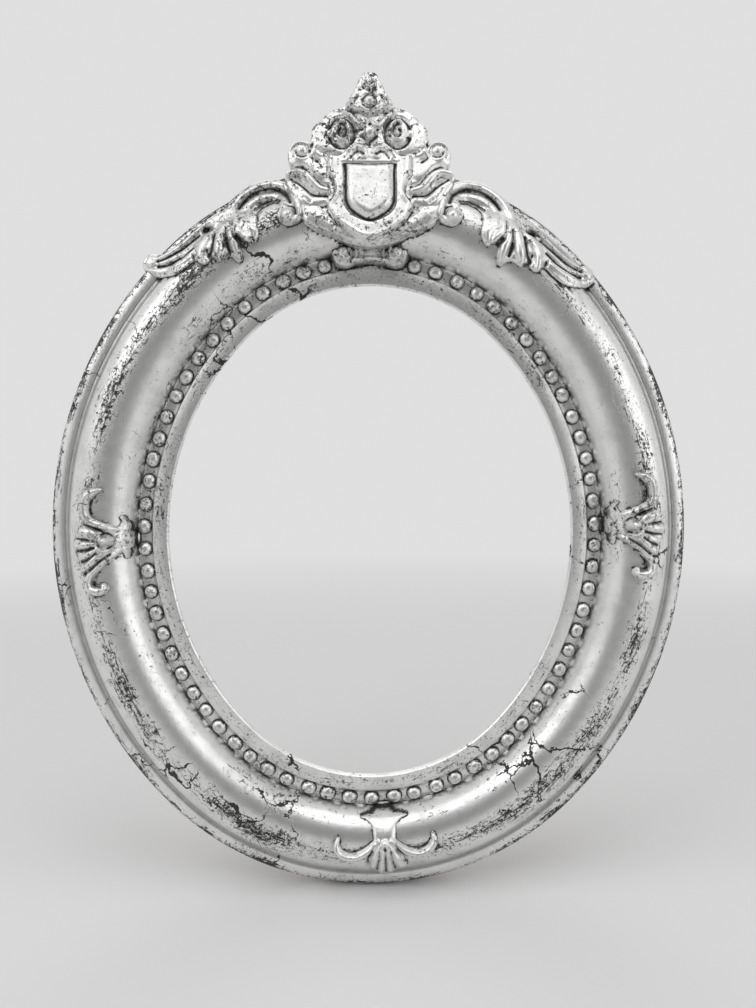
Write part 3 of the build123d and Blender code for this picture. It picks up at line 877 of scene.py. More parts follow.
def relief(name, sheet, forms, place, under, nodes):
    """A closed ornament between a raised sheet and its underside, both put in place by a function."""
    (left, right, low, high), step = sheet
    bm = bmesh.new()
    bmesh.ops.create_grid(
        bm,
        x_segments=round((right - left) / step),
        y_segments=round((high - low) / step),
        size=1.0,
        matrix=Matrix.Translation(((left + right) / 2, (low + high) / 2, 0))
        @ Matrix.Diagonal(((right - left) / 2, (high - low) / 2, 1, 1)),
    )
    flat = np.array([vert.co for vert in bm.verts])
    for vert, lift in zip(bm.verts, lifts(flat[:, 0], flat[:, 1], forms)):
        vert.co.z = lift
    spare = [face for face in bm.faces if max(vert.co.z for vert in face.verts) < CUT_BELOW]
    bmesh.ops.delete(bm, geom=spare, context="FACES")
    below = bm.verts[:]
    made = bmesh.ops.extrude_face_region(bm, geom=bm.faces[:], use_keep_orig=True)
    above = [item for item in made["geom"] if isinstance(item, bmesh.types.BMVert)]
    for verts, seat in ((above, place), (below, under)):
        spots = np.array([vert.co for vert in verts])
        for vert, spot in zip(verts, seat(spots[:, 0], spots[:, 1], spots[:, 2])):
            vert.co = spot * MM
    mesh = run_together(bm, step * MM, 1)
    return finished_mesh(name, mesh, ornament_leaf(), nodes)


# Rises of the moulding under an ornament, in millimetres: of the bead channel, of the cove's foot and of
# the back. The cove falls by a share of the offset, and an underside is sunk below its face
CHANNEL_RISE = 10.0
COVE_FOOT = 9
BACK_RISE = 8.0
COVE_FALL = 0.6
UNDER_FACE = 2.5


def rise_of_swell(offset):
    """Rise of the moulding's front under an ornament, in millimetres."""
    x, y, radius = (value / MM for value in circle_through(SWELL_START, SWELL_TOP, SWELL_END))
    start = SWELL_START[0] / MM
    end, end_rise = (value / MM for value in SWELL_END)
    arc = y + np.sqrt(np.clip(radius**2 - (offset - x) ** 2, 0, None))
    cove = np.maximum(COVE_FOOT, end_rise - COVE_FALL * (offset - end))
    return np.where(offset < start, CHANNEL_RISE, np.where(offset > end, cove, arc))


def seats(oval, line, warp, floor_rise=None):
    """Functions that put a relief's face and underside on the moulding."""

    def place(x, y, lift, sunk=0.0):
        distance, offset = warp(x, y)
        points = oval.spread(distance, offset, line)
        base = rise_of_swell(offset) if floor_rise is None else floor_rise
        points[:, 1] = -np.maximum(base + lift - sunk, BACK_RISE)
        return points

    def under(x, y, lift):
        return place(x, y, lift * 0, UNDER_FACE)

    return place, under


# Outlines and forms of the relief, in millimetres. A slab has an outline, a top and the width of its
# rounded edge, and a pit a floor and an edge. A trough has a line, a half width and a depth. A roll or a
# ball has radii and tops, spread evenly along it
CREST_OUTLINE = (
    (0, 65.3), (3.1, 64.7), (5.6, 61.1), (7.5, 56.4), (9.7, 52.4), (11.4, 49.6), (15.2, 48.0), (17.5, 45.4),
    (19.2, 42.5), (21.4, 39.4), (23.7, 37.0), (25.0, 34.2), (25.6, 31.6), (28.7, 32.3), (32.4, 31.8),
    (35.0, 29.8), (36.2, 26.8), (35.8, 23.0), (34.4, 19.6), (36.6, 17.4), (37.6, 14.8), (35.4, 11.8),
    (32.1, 7.2), (30.0, 1.3), (28.2, -4.6), (24.1, -6.8), (19.2, -9.1), (14.0, -11.6), (8.5, -13.7),
    (0, -14.9),
)
FINIAL = (
    (0, 65.2), (3.0, 64.6), (5.4, 60.9), (7.3, 56.2), (9.4, 52.2), (10.6, 50.2), (9.2, 48.4), (6.8, 47.2),
    (3.3, 45.4), (0, 44.2),
)
STRAPWORK = (
    (0, 30.5), (1.9, 31.4), (4.5, 31.6), (7.6, 30.6), (10.0, 28.8), (11.8, 26.4), (14.3, 24.9),
    (18.0, 25.4), (18.8, 22.0), (18.4, 17.0), (16.8, 13.6), (15.5, 10.0), (15.7, 6.6), (17.4, 3.6),
    (19.0, 1.2), (17.6, -2.2), (15.8, -5.2), (12.3, -8.6), (8.4, -11.4), (4.2, -13.8), (0, -14.6),
)
SHIELD = (
    (0, 20.5), (5, 20.6), (10.4, 20.9), (11.0, 20.2), (10.6, 17), (10.6, 8.9), (10.2, 3.1), (8.2, -0.6),
    (4.6, -3.4), (0, -5.5),
)
# The bed is larger than the shield by these widths
BED_SIDE = 1.7
BED_TOP = 0.7
BED_FOOT = 1.6
SHIELD_BED = [(x + (BED_SIDE if x else 0), y + (BED_TOP if y > 10 else -BED_FOOT)) for x, y in SHIELD]
CREST_FORMS = (
    [("slab", mirrored(CREST_OUTLINE), 0.7, 2.6)]
    + both_sides(
        (
            ("roll", ((12.4, 38.0), (12.4, 35.0)), (10.5, 10.5), (2.0, 2.0)),
            ("roll", ((20.5, 36.5), (21.0, 30.0)), (5.5, 5.5), (2.0, 1.8)),
            ("roll", ((31.0, 28.0), (28.0, 20.5), (22.5, 17.0)), (4.5, 6.0, 4.0), (1.6, 1.9, 1.4)),
            (
                "trough", ((34.6, 20.4), (31.5, 20.3), (29.1, 19.3), (27.0, 17.0), (24.5, 13.8),
                (21.5, 11.4), (18.4, 10.6)),
                0.8, 2.2,
            ),
            (
                "roll", ((35.8, 16.2), (31.8, 17.0), (28.3, 15.6), (25.4, 12.2), (22.4, 9.4), (19.0, 8.4)),
                (1.4, 2.2, 1.8), (2.6, 3.4, 2.6),
            ),
            (
                "roll", ((34.4, 12.0), (30.2, 6.6), (26.4, 3.2), (20.0, 3.6)),
                (2.4, 3.4, 2.4), (1.8, 2.6, 2.2),
            ),
            ("roll", ((29.6, 4.0), (25.0, -2.4), (17.5, -7.4)), (4.0, 5.0, 3.0), (1.4, 2.4, 1.8)),
            ("trough", ((34.6, 13.9), (29.6, 10.9), (25.8, 7.6), (22.3, 6.4), (19.0, 6.2)), 0.6, 1.7),
            ("trough", ((31.8, 9.0), (29.4, 5.6), (26.0, 2.8)), 0.5, 1.0),
            (
                "roll", ((12.0, 46.5), (8.2, 43.4), (4.6, 39.4), (2.4, 38.9), (0.8, 40.6), (0, 41.0)),
                (1.2, 1.3, 1.1), (3.0, 3.2, 3.2),
            ),
            ("trough", ((14.5, 47.0), (10.6, 47.2), (7.0, 45.6)), 0.9, 0.8),
            ("slab", ellipse((12.4, 36.0), 5.0, 6.5)[:-1], 2.6, 1.2),
            ("roll", ellipse((12.4, 36.0), 3.5, 4.9, 1.2, 7.0, 0.55), (1.3, 1.0), (3.7, 3.3)),
            ("trough", ellipse((12.4, 36.0), 2.3, 3.4, 1.2, 6.0, 0.5), 0.7, 1.4),
            ("ball", (12.2, 35.6), (1.3,), (3.4,)),
            ("trough", ellipse((12.4, 36.0), 5.7, 7.1, 0.3, 5.6), 0.7, 2.2),
            ("ball", (30.2, 26.9), (5.6,), (3.0,)),
            ("trough", ellipse((30.2, 26.9), 4.4, 4.0, -0.6, 6.6, 0.55), 0.7, 1.6),
            ("ball", (30.2, 26.9), (1.8,), (3.4,)),
            ("trough", ((25.4, 31.0), (26.0, 28.4), (25.6, 24.4), (23.0, 22.6)), 0.7, 1.3),
            ("trough", ((23.6, 28.6), (21.6, 26.8), (19.2, 26.4)), 0.6, 0.9),
        )
    )
    + [("ball", (0, 36.6), (3.4,), (3.0,)), ("trough", ((-3.0, 34.6), (0, 32.6), (3.0, 34.6)), 0.7, 1.2)]
    + [
        ("slab", mirrored(FINIAL), 3.2, 1.7),
        ("pit", ellipse((0, 50.2), 4.3, 4.1)[:-1], 2.0, 1.4),
        ("ball", (0, 50.2), (3.1,), (5.2,)),
        ("pit", ellipse((0, 57.5), 3.9, 3.2)[:-1], 2.2, 1.2),
        ("ball", (0, 57.5), (1.5,), (4.2,)),
        ("ball", (2.1, 58.3), (1.3,), (3.9,)),
        ("ball", (-2.1, 58.3), (1.3,), (3.9,)),
        ("ball", (1.3, 56.0), (1.2,), (3.9,)),
        ("ball", (-1.3, 56.0), (1.2,), (3.9,)),
        ("ball", (0, 59.6), (1.3,), (3.9,)),
    ]
    + both_sides(
        (
            ("ball", (8.1, 50.8), (1.7,), (4.4,)),
            ("trough", ((5.4, 52.4), (6.8, 50.0), (5.6, 48.4)), 0.6, 1.0),
        )
    )
    + [("slab", mirrored(STRAPWORK), 2.9, 1.5), ("trough", ((0, 31.5), (0, 28.6)), 0.6, 1.6)]
    + both_sides(
        (
            (
                "roll", ((9.8, 22.8), (8.6, 26.0), (5.4, 27.9), (2.2, 26.9), (1.6, 24.2), (3.4, 23.2),
                (4.6, 24.6)),
                (1.0, 1.1, 0.8), (3.5, 3.9, 3.4),
            ),
            ("trough", ((11.4, 23.4), (9.6, 27.4), (5.6, 29.5), (1.0, 28.6)), 0.55, 0.8),
            ("trough", ((8.4, 23.0), (6.8, 25.6), (4.4, 26.2), (3.0, 25.2)), 0.5, 1.0),
            (
                "roll", ((17.0, 23.6), (16.6, 17.4), (14.6, 12.8), (13.9, 9.4), (14.4, 5.8), (17.2, 1.6)),
                (1.2,), (3.5,),
            ),
            ("roll", ((17.2, 1.6), (14.6, -4.4), (9.6, -8.6), (4.4, -12.0), (0, -13.2)), (1.2,), (3.5,)),
        )
    )
    + [("pit", mirrored(SHIELD_BED), 1.3, 1.4)]
)
SHIELD_FORMS = [("slab", mirrored(SHIELD), 4.7, 3.4)]
BRIDGE_OUTLINE = (
    (0, 16.8), (4.6, 17.4), (7.6, 18.7), (11.6, 20.0), (15.8, 18.8), (17.6, 14.6), (16.4, 9.8), (12.0, 7.6),
    (8.0, 8.4), (4.6, 9.5), (0, 9.5),
)
BRIDGE_FORMS = (
    [
        ("slab", mirrored(BRIDGE_OUTLINE), 8.0, 2.4),
        ("roll", ((-6, 17.0), (0, 16.2), (6, 17.0)), (1.8,), (9.2,)),
        ("roll", ((-6, 10.4), (0, 10.9), (6, 10.4)), (1.6,), (8.8,)),
        ("trough", ((-5, 13.7), (0, 13.6), (5, 13.7)), 2.0, 0.7),
    ]
    + both_sides(
        (
            ("ball", (11.6, 13.8), (6.1,), (11.0,)),
            ("trough", ellipse((11.6, 13.8), 4.7, 4.9, 2.6, 8.2, 0.35), 0.75, 1.5),
            ("ball", (11.6, 13.8), (1.7,), (11.2,)),
            ("trough", ((6.2, 18.2), (5.4, 13.8), (6.4, 9.4)), 0.7, 1.0),
        )
    )
)
WING_OUTLINE = (
    (65.6, 50.4), (60.0, 53.6), (54.4, 55.2), (48.3, 56.3), (43.0, 55.9), (38.1, 54.0), (34.1, 50.6),
    (32.0, 45.4), (31.1, 38.0), (31.7, 33.2), (33.8, 29.2), (38.2, 27.7), (42.2, 28.6), (44.4, 31.7),
    (43.6, 35.4), (41.4, 38.1), (41.6, 40.1), (44.8, 41.4), (48.4, 41.2), (51.1, 39.6), (53.2, 35.5),
    (54.7, 30.4), (58.2, 27.6), (61.3, 27.7), (61.8, 29.4), (63.9, 30.1), (65.2, 29.9), (66.4, 26.7),
    (68.8, 24.0), (71.0, 24.0), (72.0, 26.7), (73.9, 28.5), (76.5, 29.2), (80.0, 31.8), (82.6, 31.9),
    (85.1, 32.3), (86.6, 34.8), (87.6, 36.8), (91.2, 37.1), (97.0, 38.5), (101.3, 42.5), (104.6, 49.0),
    (105.2, 54.6), (103.5, 57.3), (100.8, 58.3), (98.0, 57.2), (96.0, 54.4), (93.1, 52.2), (87.7, 51.4),
    (81.1, 50.9), (75.3, 50.7),
)
WING_FORMS = (
    ("slab", WING_OUTLINE, 2.0, 1.5),
    (
        "roll", ((59.6, 38.0), (57.1, 44.7), (52.0, 47.2), (47.2, 47.7), (42.0, 46.2), (39.0, 43.6)),
        (2.4, 2.8, 2.2), (2.8, 3.2, 2.6),
    ),
    ("roll", ((58.8, 38.0), (57.4, 33.4), (59.0, 29.8)), (2.4, 2.6, 1.6), (2.6, 2.8, 2.4)),
    (
        "roll", ((64.8, 46.4), (60.8, 49.4), (55.4, 52.0), (49.0, 53.3), (43.6, 53.0), (38.7, 50.9),
        (35.4, 47.2), (33.7, 41.5), (33.1, 36.3), (33.6, 32.2), (35.4, 29.9), (38.4, 29.4)),
        (3.2, 2.9, 2.4, 2.2, 2.0, 1.3), (4.0, 4.8, 4.8, 4.8, 4.6, 3.6),
    ),
    (
        "trough", ((61.6, 38.3), (60.3, 44.8), (56.0, 48.6), (50.3, 50.7), (44.7, 50.3), (39.8, 48.2),
        (37.0, 44.4), (36.2, 38.3)),
        0.75, 1.8,
    ),
    ("trough", ((51.3, 42.5), (47.5, 43.5), (44.3, 43.2), (41.0, 41.6)), 1.2, 3.2),
    ("ball", (39.2, 32.4), (3.7,), (6.2,)),
    ("trough", ellipse((39.2, 32.6), 4.7, 4.7, 1.9, 4.4), 0.6, 1.4),
    ("roll", ((61.0, 45.0), (63.6, 38.0), (61.6, 31.2)), (4.0, 3.0, 1.6), (3.6, 3.8, 2.8)),
    (
        "roll", ((63.5, 47.0), (65.6, 40.8), (67.4, 32.0), (69.2, 25.6)),
        (4.4, 3.6, 2.6, 1.8), (4.0, 4.6, 4.2, 3.2),
    ),
    (
        "roll", ((65.5, 47.4), (68.6, 41.5), (72.6, 36.0), (75.6, 32.6), (77.4, 30.9)),
        (3.6, 3.4, 2.8, 1.9), (3.8, 4.4, 4.4, 3.2),
    ),
    (
        "roll", ((68.6, 47.6), (73.6, 43.6), (79.4, 41.0), (82.6, 37.4), (84.4, 34.2)),
        (2.8, 3.2, 2.4, 1.8), (3.4, 4.2, 4.2, 3.2),
    ),
    (
        "roll", ((63.5, 48.6), (70.0, 49.3), (78.5, 49.3), (85.6, 49.1), (91.4, 49.9), (97.3, 52.0)),
        (2.4, 1.6, 1.7, 1.9), (4.0, 3.2, 3.2, 3.6),
    ),
    ("roll", ((78.0, 44.5), (87.0, 45.0), (93.0, 46.8), (98.5, 50.2)), (2.0, 1.9, 2.0), (3.0, 3.2, 3.4)),
    (
        "roll", ((83.5, 40.5), (89.6, 40.6), (95.5, 43.0), (100.2, 46.6), (102.6, 50.2)),
        (2.2, 2.2, 1.8), (3.0, 3.4, 3.4),
    ),
    ("ball", (101.0, 53.6), (4.3,), (5.0,)),
    ("trough", ((65.2, 33.8), (64.2, 30.0)), 0.9, 3.0),
    ("trough", ((66.8, 40.0), (70.2, 34.0), (71.4, 29.5)), 0.7, 2.0),
    ("trough", ((72.4, 41.0), (76.6, 36.6), (80.0, 33.6)), 0.7, 2.0),
    ("trough", ((79.4, 30.9), (80.6, 33.6), (79.4, 36.6)), 0.8, 1.4),
    ("trough", ((62.6, 42.8), (65.0, 36.6), (65.6, 32.8)), 0.6, 1.6),
    ("trough", ((85.8, 39.6), (86.8, 36.2)), 0.8, 1.4),
    ("trough", ((74.6, 47.4), (72.6, 45.6)), 1.4, 3.0),
    ("trough", ((78.5, 46.8), (86.5, 47.1), (94.0, 49.2), (98.4, 51.6)), 0.6, 1.7),
    ("trough", ((83.5, 42.6), (90.0, 43.2), (96.5, 46.4), (99.8, 49.6)), 0.6, 1.7),
    ("trough", ellipse((101.0, 53.6), 2.6, 2.6, 3.4, 4.6), 0.5, 1.0),
)
PALMETTE_OUTLINE = (
    (7.4, 33.5), (4.6, 36.8), (1.2, 38.3), (-1.6, 40.0), (-4.9, 38.6), (-7.9, 37.2), (-12.2, 36.2),
    (-13.1, 33.4), (-11.1, 29.6), (-8.4, 26.0), (-6.4, 21.7), (-5.4, 18.4), (-8.9, 16.8), (-6.6, 15.4),
    (-1.6, 15.6), (4.2, 15.2), (9.3, 15.6), (11.9, 18.4), (9.0, 18.6), (6.0, 20.4), (6.4, 23.4),
    (5.9, 26.1), (6.2, 29.7),
)
PALMETTE_FORMS = (
    ("slab", PALMETTE_OUTLINE, 1.8, 1.2),
    ("roll", ((0.2, 23.0), (0.2, 17.0)), (4.4, 5.0), (2.4, 2.2)),
    ("roll", ((4.0, 16.6), (8.0, 16.4), (11.2, 18.2)), (1.4, 1.0), (2.6, 2.2)),
    ("roll", ((-4.0, 17.0), (-8.4, 16.6)), (1.4, 1.0), (2.6, 2.2)),
    ("roll", ((0.6, 26.0), (3.6, 31.0), (4.4, 34.6)), (2.4, 3.2, 2.2), (3.4, 4.0, 3.2)),
    ("roll", ((-0.4, 27.0), (-1.2, 33.6), (-1.6, 38.2)), (1.8, 2.2, 1.6), (3.0, 3.4, 2.8)),
    ("roll", ((-2.4, 26.4), (-5.6, 31.4), (-6.8, 36.0)), (2.0, 2.2, 1.6), (3.0, 3.6, 2.8)),
    ("roll", ((-3.6, 25.0), (-8.4, 30.2), (-11.4, 34.4)), (1.6, 2.0, 1.7), (3.0, 3.6, 3.2)),
    (
        "roll", ((5.4, 19.8), (7.2, 26.0), (9.6, 31.8), (13.6, 34.0), (18.4, 33.8), (21.2, 31.2),
        (23.2, 27.6)),
        (1.4, 1.8, 2.4, 2.7, 2.4, 1.0), (2.6, 3.4, 4.4, 4.6, 4.2, 2.6),
    ),
    (
        "roll", ((-5.4, 19.6), (-7.8, 23.8), (-12.0, 29.4), (-16.4, 33.0), (-20.2, 33.0), (-21.8, 29.4),
        (-21.0, 26.4), (-19.4, 26.8)),
        (1.4, 1.7, 2.0, 2.3, 2.2, 1.2), (2.6, 3.2, 4.0, 4.4, 4.2, 3.0),
    ),
    ("trough", ellipse((0.3, 24.4), 3.5, 3.3, 0, 2 * pi), 0.6, 1.3),
    ("ball", (0.3, 24.4), (2.5,), (5.2,)),
    ("trough", ((1.2, 37.6), (0.9, 33.0), (0.6, 29.0)), 0.5, 1.7),
    ("trough", ((-4.1, 38.2), (-3.6, 33.2), (-2.6, 29.0)), 0.5, 1.6),
    ("trough", ((-8.9, 36.0), (-7.2, 32.0), (-5.0, 28.6)), 0.5, 1.6),
    ("trough", ((-12.6, 31.6), (-9.0, 27.2), (-6.0, 22.6)), 0.5, 1.6),
    ("trough", ((7.4, 33.0), (6.0, 28.6), (4.6, 25.6)), 0.5, 1.6),
    ("trough", ((18.0, 35.0), (14.0, 35.4)), 0.5, 0.8),
)
BOTTOM_OUTLINE = (
    (12.5, 16.6), (8.6, 17.6), (5.4, 20.4), (5.6, 25.5), (8.4, 28.6), (9.4, 32.5), (7.0, 36.6), (5.2, 40.6),
    (2.8, 45.4), (0.3, 47.0), (-2.1, 44.6), (-5.6, 40.2), (-8.6, 38.2), (-8.8, 34.6), (-7.6, 29.0),
    (-4.6, 25.4), (-4.9, 20.6), (-8.5, 17.9), (-13.0, 16.8), (-8.0, 15.4), (0, 15.2), (8.0, 15.4),
)
BOTTOM_FORMS = (
    ("slab", BOTTOM_OUTLINE, 1.6, 1.4),
    ("roll", ((0, 26.0), (0, 18.0)), (5.0, 6.4), (2.4, 1.8)),
    ("roll", ((2.0, 27.0), (4.4, 32.4), (5.4, 37.0)), (2.0, 2.6, 1.8), (3.2, 3.8, 3.0)),
    ("roll", ((-1.6, 27.0), (-4.2, 33.0), (-6.4, 37.6)), (2.0, 3.0, 2.4), (3.2, 4.2, 3.4)),
    ("roll", ((0.8, 30.0), (1.8, 38.0), (2.0, 44.0)), (2.0, 2.2, 1.6), (3.4, 3.8, 3.0)),
    ("roll", ((-0.8, 30.0), (-1.6, 38.0), (-1.4, 44.0)), (2.0, 2.2, 1.6), (3.4, 3.8, 3.0)),
    (
        "roll", ((3.0, 25.0), (8.5, 29.6), (14.0, 32.4), (19.4, 31.6), (22.0, 28.4), (21.8, 25.0)),
        (1.6, 2.0, 2.2, 2.0, 1.0), (2.8, 4.0, 4.4, 4.0, 2.6),
    ),
    (
        "roll", ((-3.0, 25.0), (-9.4, 30.2), (-14.4, 32.4), (-19.0, 31.6), (-22.2, 28.6), (-22.6, 25.4)),
        (1.6, 2.0, 2.2, 2.0, 1.0), (2.8, 4.0, 4.4, 4.0, 2.6),
    ),
    ("ball", (0, 25.6), (2.2,), (4.0,)),
    ("trough", ((0.1, 29.0), (0.2, 45.0)), 0.5, 1.7),
    ("trough", ((2.6, 29.0), (3.8, 40.5)), 0.5, 1.4),
    ("trough", ((-2.4, 29.0), (-3.6, 40.5)), 0.5, 1.4),
    ("trough", ((5.0, 26.5), (7.6, 32.5), (7.4, 36.0)), 0.5, 1.4),
    ("trough", ((-4.6, 26.5), (-8.2, 32.5), (-8.4, 36.0)), 0.5, 1.4),
)


# Left, right, lower and upper edge of each sheet, and the size of its cells, in millimetres
CREST_SHEET = ((-39, 39, -16, 67), 0.4)
SHIELD_SHEET = ((-13, 13, -7, 22), 0.4)
BRIDGE_SHEET = ((-19, 19, 5, 22), 0.35)
WING_SHEET = ((29, 107, 22, 60), 0.4)
PALMETTE_SHEET = ((-25, 26, 13, 50), 0.36)

# The crest's underside lies this far behind its face, and the shield's this far over it
CREST_UNDER_FACE = 1.0
SHIELD_OVER_FACE = 0.3


def crest_seats(sizes):
    """Functions that put the crest's relief on its leaning face, and its back on the board."""
    face = np.array(crest_matrix(sizes))

    def place(x, y, lift):
        points = np.stack([x, y, lift], 1) @ face[:3, :3].T
        return points + face[:3, 3] / MM

    def under(x, y, lift):
        points = place(x, y, lift * 0)
        points[:, 1] = np.maximum(points[:, 1] + CREST_UNDER_FACE, -BACK_RISE)
        return points

    return place, under


class OVALFRAME_OT_crest(bpy.types.Operator):
    """Leaning crest with its finial, scrolls, side leaves, strapwork and shield"""

    bl_idname = "oval_frame.crest"
    bl_label = "Crest"

    def execute(self, context):
        place, under = crest_seats(context.scene.oval_frame_sizes)
        nodes = (
            "crest_body", "crest_finial", "crest_brow", "left_eye_volute", "right_eye_volute",
            "left_side_leaf", "right_side_leaf", "crest_strapwork",
        )
        relief("crest", CREST_SHEET, CREST_FORMS, place, under, nodes)

        def shield_under(x, y, lift):
            return place(x, y, lift * 0 + SHIELD_OVER_FACE)

        nodes = ("crest_shield",)
        relief("crest_shield_pillow", SHIELD_SHEET, SHIELD_FORMS, place, shield_under, nodes)
        return {"FINISHED"}


# The lines that ornaments are bent along, as offsets in millimetres, and the rise of the bridge's floor
BRIDGE_LINE = 12.0
WING_LINE = 40.0
PALMETTE_LINE = 25.0
BRIDGE_FLOOR = 9.4


class OVALFRAME_OT_bridge_scroll(bpy.types.Operator):
    """Saddle with a volute at each end between the crest and the beads"""

    bl_idname = "oval_frame.bridge_scroll"
    bl_label = "Bridge scroll"

    def execute(self, context):
        oval = Oval(context.scene.oval_frame_sizes)
        place, under = seats(oval, BRIDGE_LINE, lambda x, y: (x, y), BRIDGE_FLOOR)
        relief("bridge", BRIDGE_SHEET, BRIDGE_FORMS, place, under, ("bridge_scroll",))
        return {"FINISHED"}


# The right wing is stretched from one distance on, and from another its tail drops by a share
STRETCH_FROM = 65
STRETCH = 1.1
DROP_FROM = 55
DROP = 0.07


def left_wing_place(x, y):
    """Place of the left wing's forms on the moulding."""
    return -x, y


def right_wing_place(x, y):
    """Place of the right wing's forms, a little longer and with a lower tail."""
    distance = np.where(x > STRETCH_FROM, STRETCH_FROM + (x - STRETCH_FROM) * STRETCH, x)
    return distance, y - DROP * np.maximum(0, distance - DROP_FROM)


class OVALFRAME_OT_wings(bpy.types.Operator):
    """Scrolled leaves on the swell at both sides of the crest"""

    bl_idname = "oval_frame.wings"
    bl_label = "Wings"

    def execute(self, context):
        oval = Oval(context.scene.oval_frame_sizes)
        for name, warp in (("left_wing", left_wing_place), ("right_wing", right_wing_place)):
            place, under = seats(oval, WING_LINE, warp)
            relief(name + "_leaf", WING_SHEET, WING_FORMS, place, under, (name,))
        return {"FINISHED"}


# Node, forms, distance of the middle from the top in millimetres, and side that the forms face
PALMETTE_PLACES = (
    ("left_palmette", PALMETTE_FORMS, -205.5, 1),
    ("right_palmette", PALMETTE_FORMS, 199.5, -1),
    ("bottom_palmette", BOTTOM_FORMS, 404.2, 1),
)


class OVALFRAME_OT_palmettes(bpy.types.Operator):
    """Palmettes over the joints at the sides and the bottom"""

    bl_idname = "oval_frame.palmettes"
    bl_label = "Palmettes"

    def execute(self, context):
        oval = Oval(context.scene.oval_frame_sizes)
        for name, forms, middle, side in PALMETTE_PLACES:
            place, under = seats(
                oval, PALMETTE_LINE, lambda x, y, middle=middle, side=side: (middle + side * x, y)
            )
            relief(name + "_leaf", PALMETTE_SHEET, forms, place, under, (name,))
        return {"FINISHED"}


class OVALFRAME_OT_back(bpy.types.Operator):
    """Bare wood of the back and the board behind the crest"""

    bl_idname = "oval_frame.back"
    bl_label = "Wood of the back"

    def execute(self, context):
        for name in ("back_top", "back_bottom", "crest_board"):
            node = frame["nodes"][name]
            node.data.materials.clear()
            node.data.materials.append(bare_wood())
        return {"FINISHED"}


class OVALFRAME_OT_fittings(bpy.types.Operator):
    """Hanger, turn buttons and screws"""

    bl_idname = "oval_frame.fittings"
    bl_label = "Fittings"

    def execute(self, context):
        for name, node in frame["nodes"].items():
            if name.startswith(("hanger_", "turn_button_")):
                node.data.materials.clear()
                node.data.materials.append(fitting_steel())
        return {"FINISHED"}


# Painted shade on the beads' flanks: a bead is unshaded above a rise, painted darker from there down towards
# the channel over a depth, and then dark by a share
BEAD_UNSHADED_RISE = 13.2
BEAD_SHADE_DEPTH = 2.2
BEAD_SHADE = 0.72


class OVALFRAME_OT_patina_and_shade(bpy.types.Operator):
    """Marks the hollows and joints where the dark ground shows and painted shade falls, and paints shade on
    the beads' flanks
    """

    bl_idname = "oval_frame.patina"
    bl_label = "Patina and shade"

    def execute(self, context):
        pieces = bpy.data.objects
        moulding, beads = pieces["moulding"], pieces["bead_course"]
        shield = pieces["crest_shield_pillow"]
        ornaments = [
            pieces[name]
            for name in (
                "crest", "bridge", "left_wing_leaf", "right_wing_leaf",
                "left_palmette_leaf", "right_palmette_leaf", "bottom_palmette_leaf",
            )
        ]
        # Concavity and nearness to the ornaments: ground and tarnish there, and painted shade
        mark_hollows_and_joint_shade(moulding, ornaments, rounds=3, depth=0.6 * MM, reach=0.9 * MM)
        # Painted shade: each bead's flanks are darkened towards the channel by their rise alone
        rise = -points_of(beads.data)[0][:, 1] / MM
        shade = np.clip((BEAD_UNSHADED_RISE - rise) / BEAD_SHADE_DEPTH, 0, 1) * BEAD_SHADE
        set_attribute(beads.data, "hollow_and_shade", shade)
        for piece in ornaments:
            others = [moulding, shield] if piece.name == "crest" else [moulding]
            mark_hollows_and_joint_shade(piece, others, rounds=22, depth=0.42 * MM, reach=0.7 * MM)
        mark_hollows_and_joint_shade(shield, [pieces["crest"]], rounds=12, depth=0.5 * MM, reach=0.5 * MM)
        return {"FINISHED"}


# Place in millimetres, turn in degrees and lens of the camera
CAMERA_PLACE = (-3.890, -374.029, 39.705)
CAMERA_TURN = (86.1057, 0.1713, -1.1573)
CAMERA_LENS = 27.714
SENSOR_WIDTH = 36.0

# Name, place, size and share of the full power of each lamp
LAMPS = (
    ("lamp_upper_left", (-0.75, -0.55, 0.75), 0.9, 1.0),
    ("lamp_top", (0.15, -0.45, 1.0), 0.8, 0.7),
    ("lamp_right", (0.9, -0.5, 0.25), 0.8, 0.45),
    ("lamp_behind", (0.0, 0.9, 0.7), 0.9, 0.5),
)

# The floor lies a gap under the solids, and its paper fades into the backdrop between two distances
FLOOR_GAP = 0.3 * MM
FLOOR_RADIUS = 6.0
FADE_START = 0.35
FADE_END = 1.3
PAPER_TONE = 0.92

# A dark card in front of the frame, seen only in the shine of the silver
CARD_PLACE = (0, -0.62, 0.02)
CARD_SIZE = (0.9, 1.1, 1, 1)
CARD_TONE = 0.19


def room_light(setting):
    """World with the backdrop for what is seen and the fill for what it lights."""
    world = bpy.data.worlds.new("room")
    tree = cleared(world)
    rays = add_node(tree, "ShaderNodeLightPath").outputs
    direct = calc(tree, "ADD", rays["Is Camera Ray"], rays["Is Glossy Ray"])
    seen = calc(tree, "ADD", direct, rays["Is Transmission Ray"], clamp=True)
    tone = blend_colour(tree, seen, grey(setting.fill), grey(setting.backdrop))
    background = add_node(tree, "ShaderNodeBackground", {"Color": tone, "Strength": 1.0})
    add_node(tree, "ShaderNodeOutputWorld", {"Surface": background.outputs["Background"]})
    return world


def glow_of(tree, brightness):
    """Light of its own, in one grey."""
    return add_node(
        tree, "ShaderNodeEmission", {"Color": grey(brightness), "Strength": 1.0}
    ).outputs["Emission"]


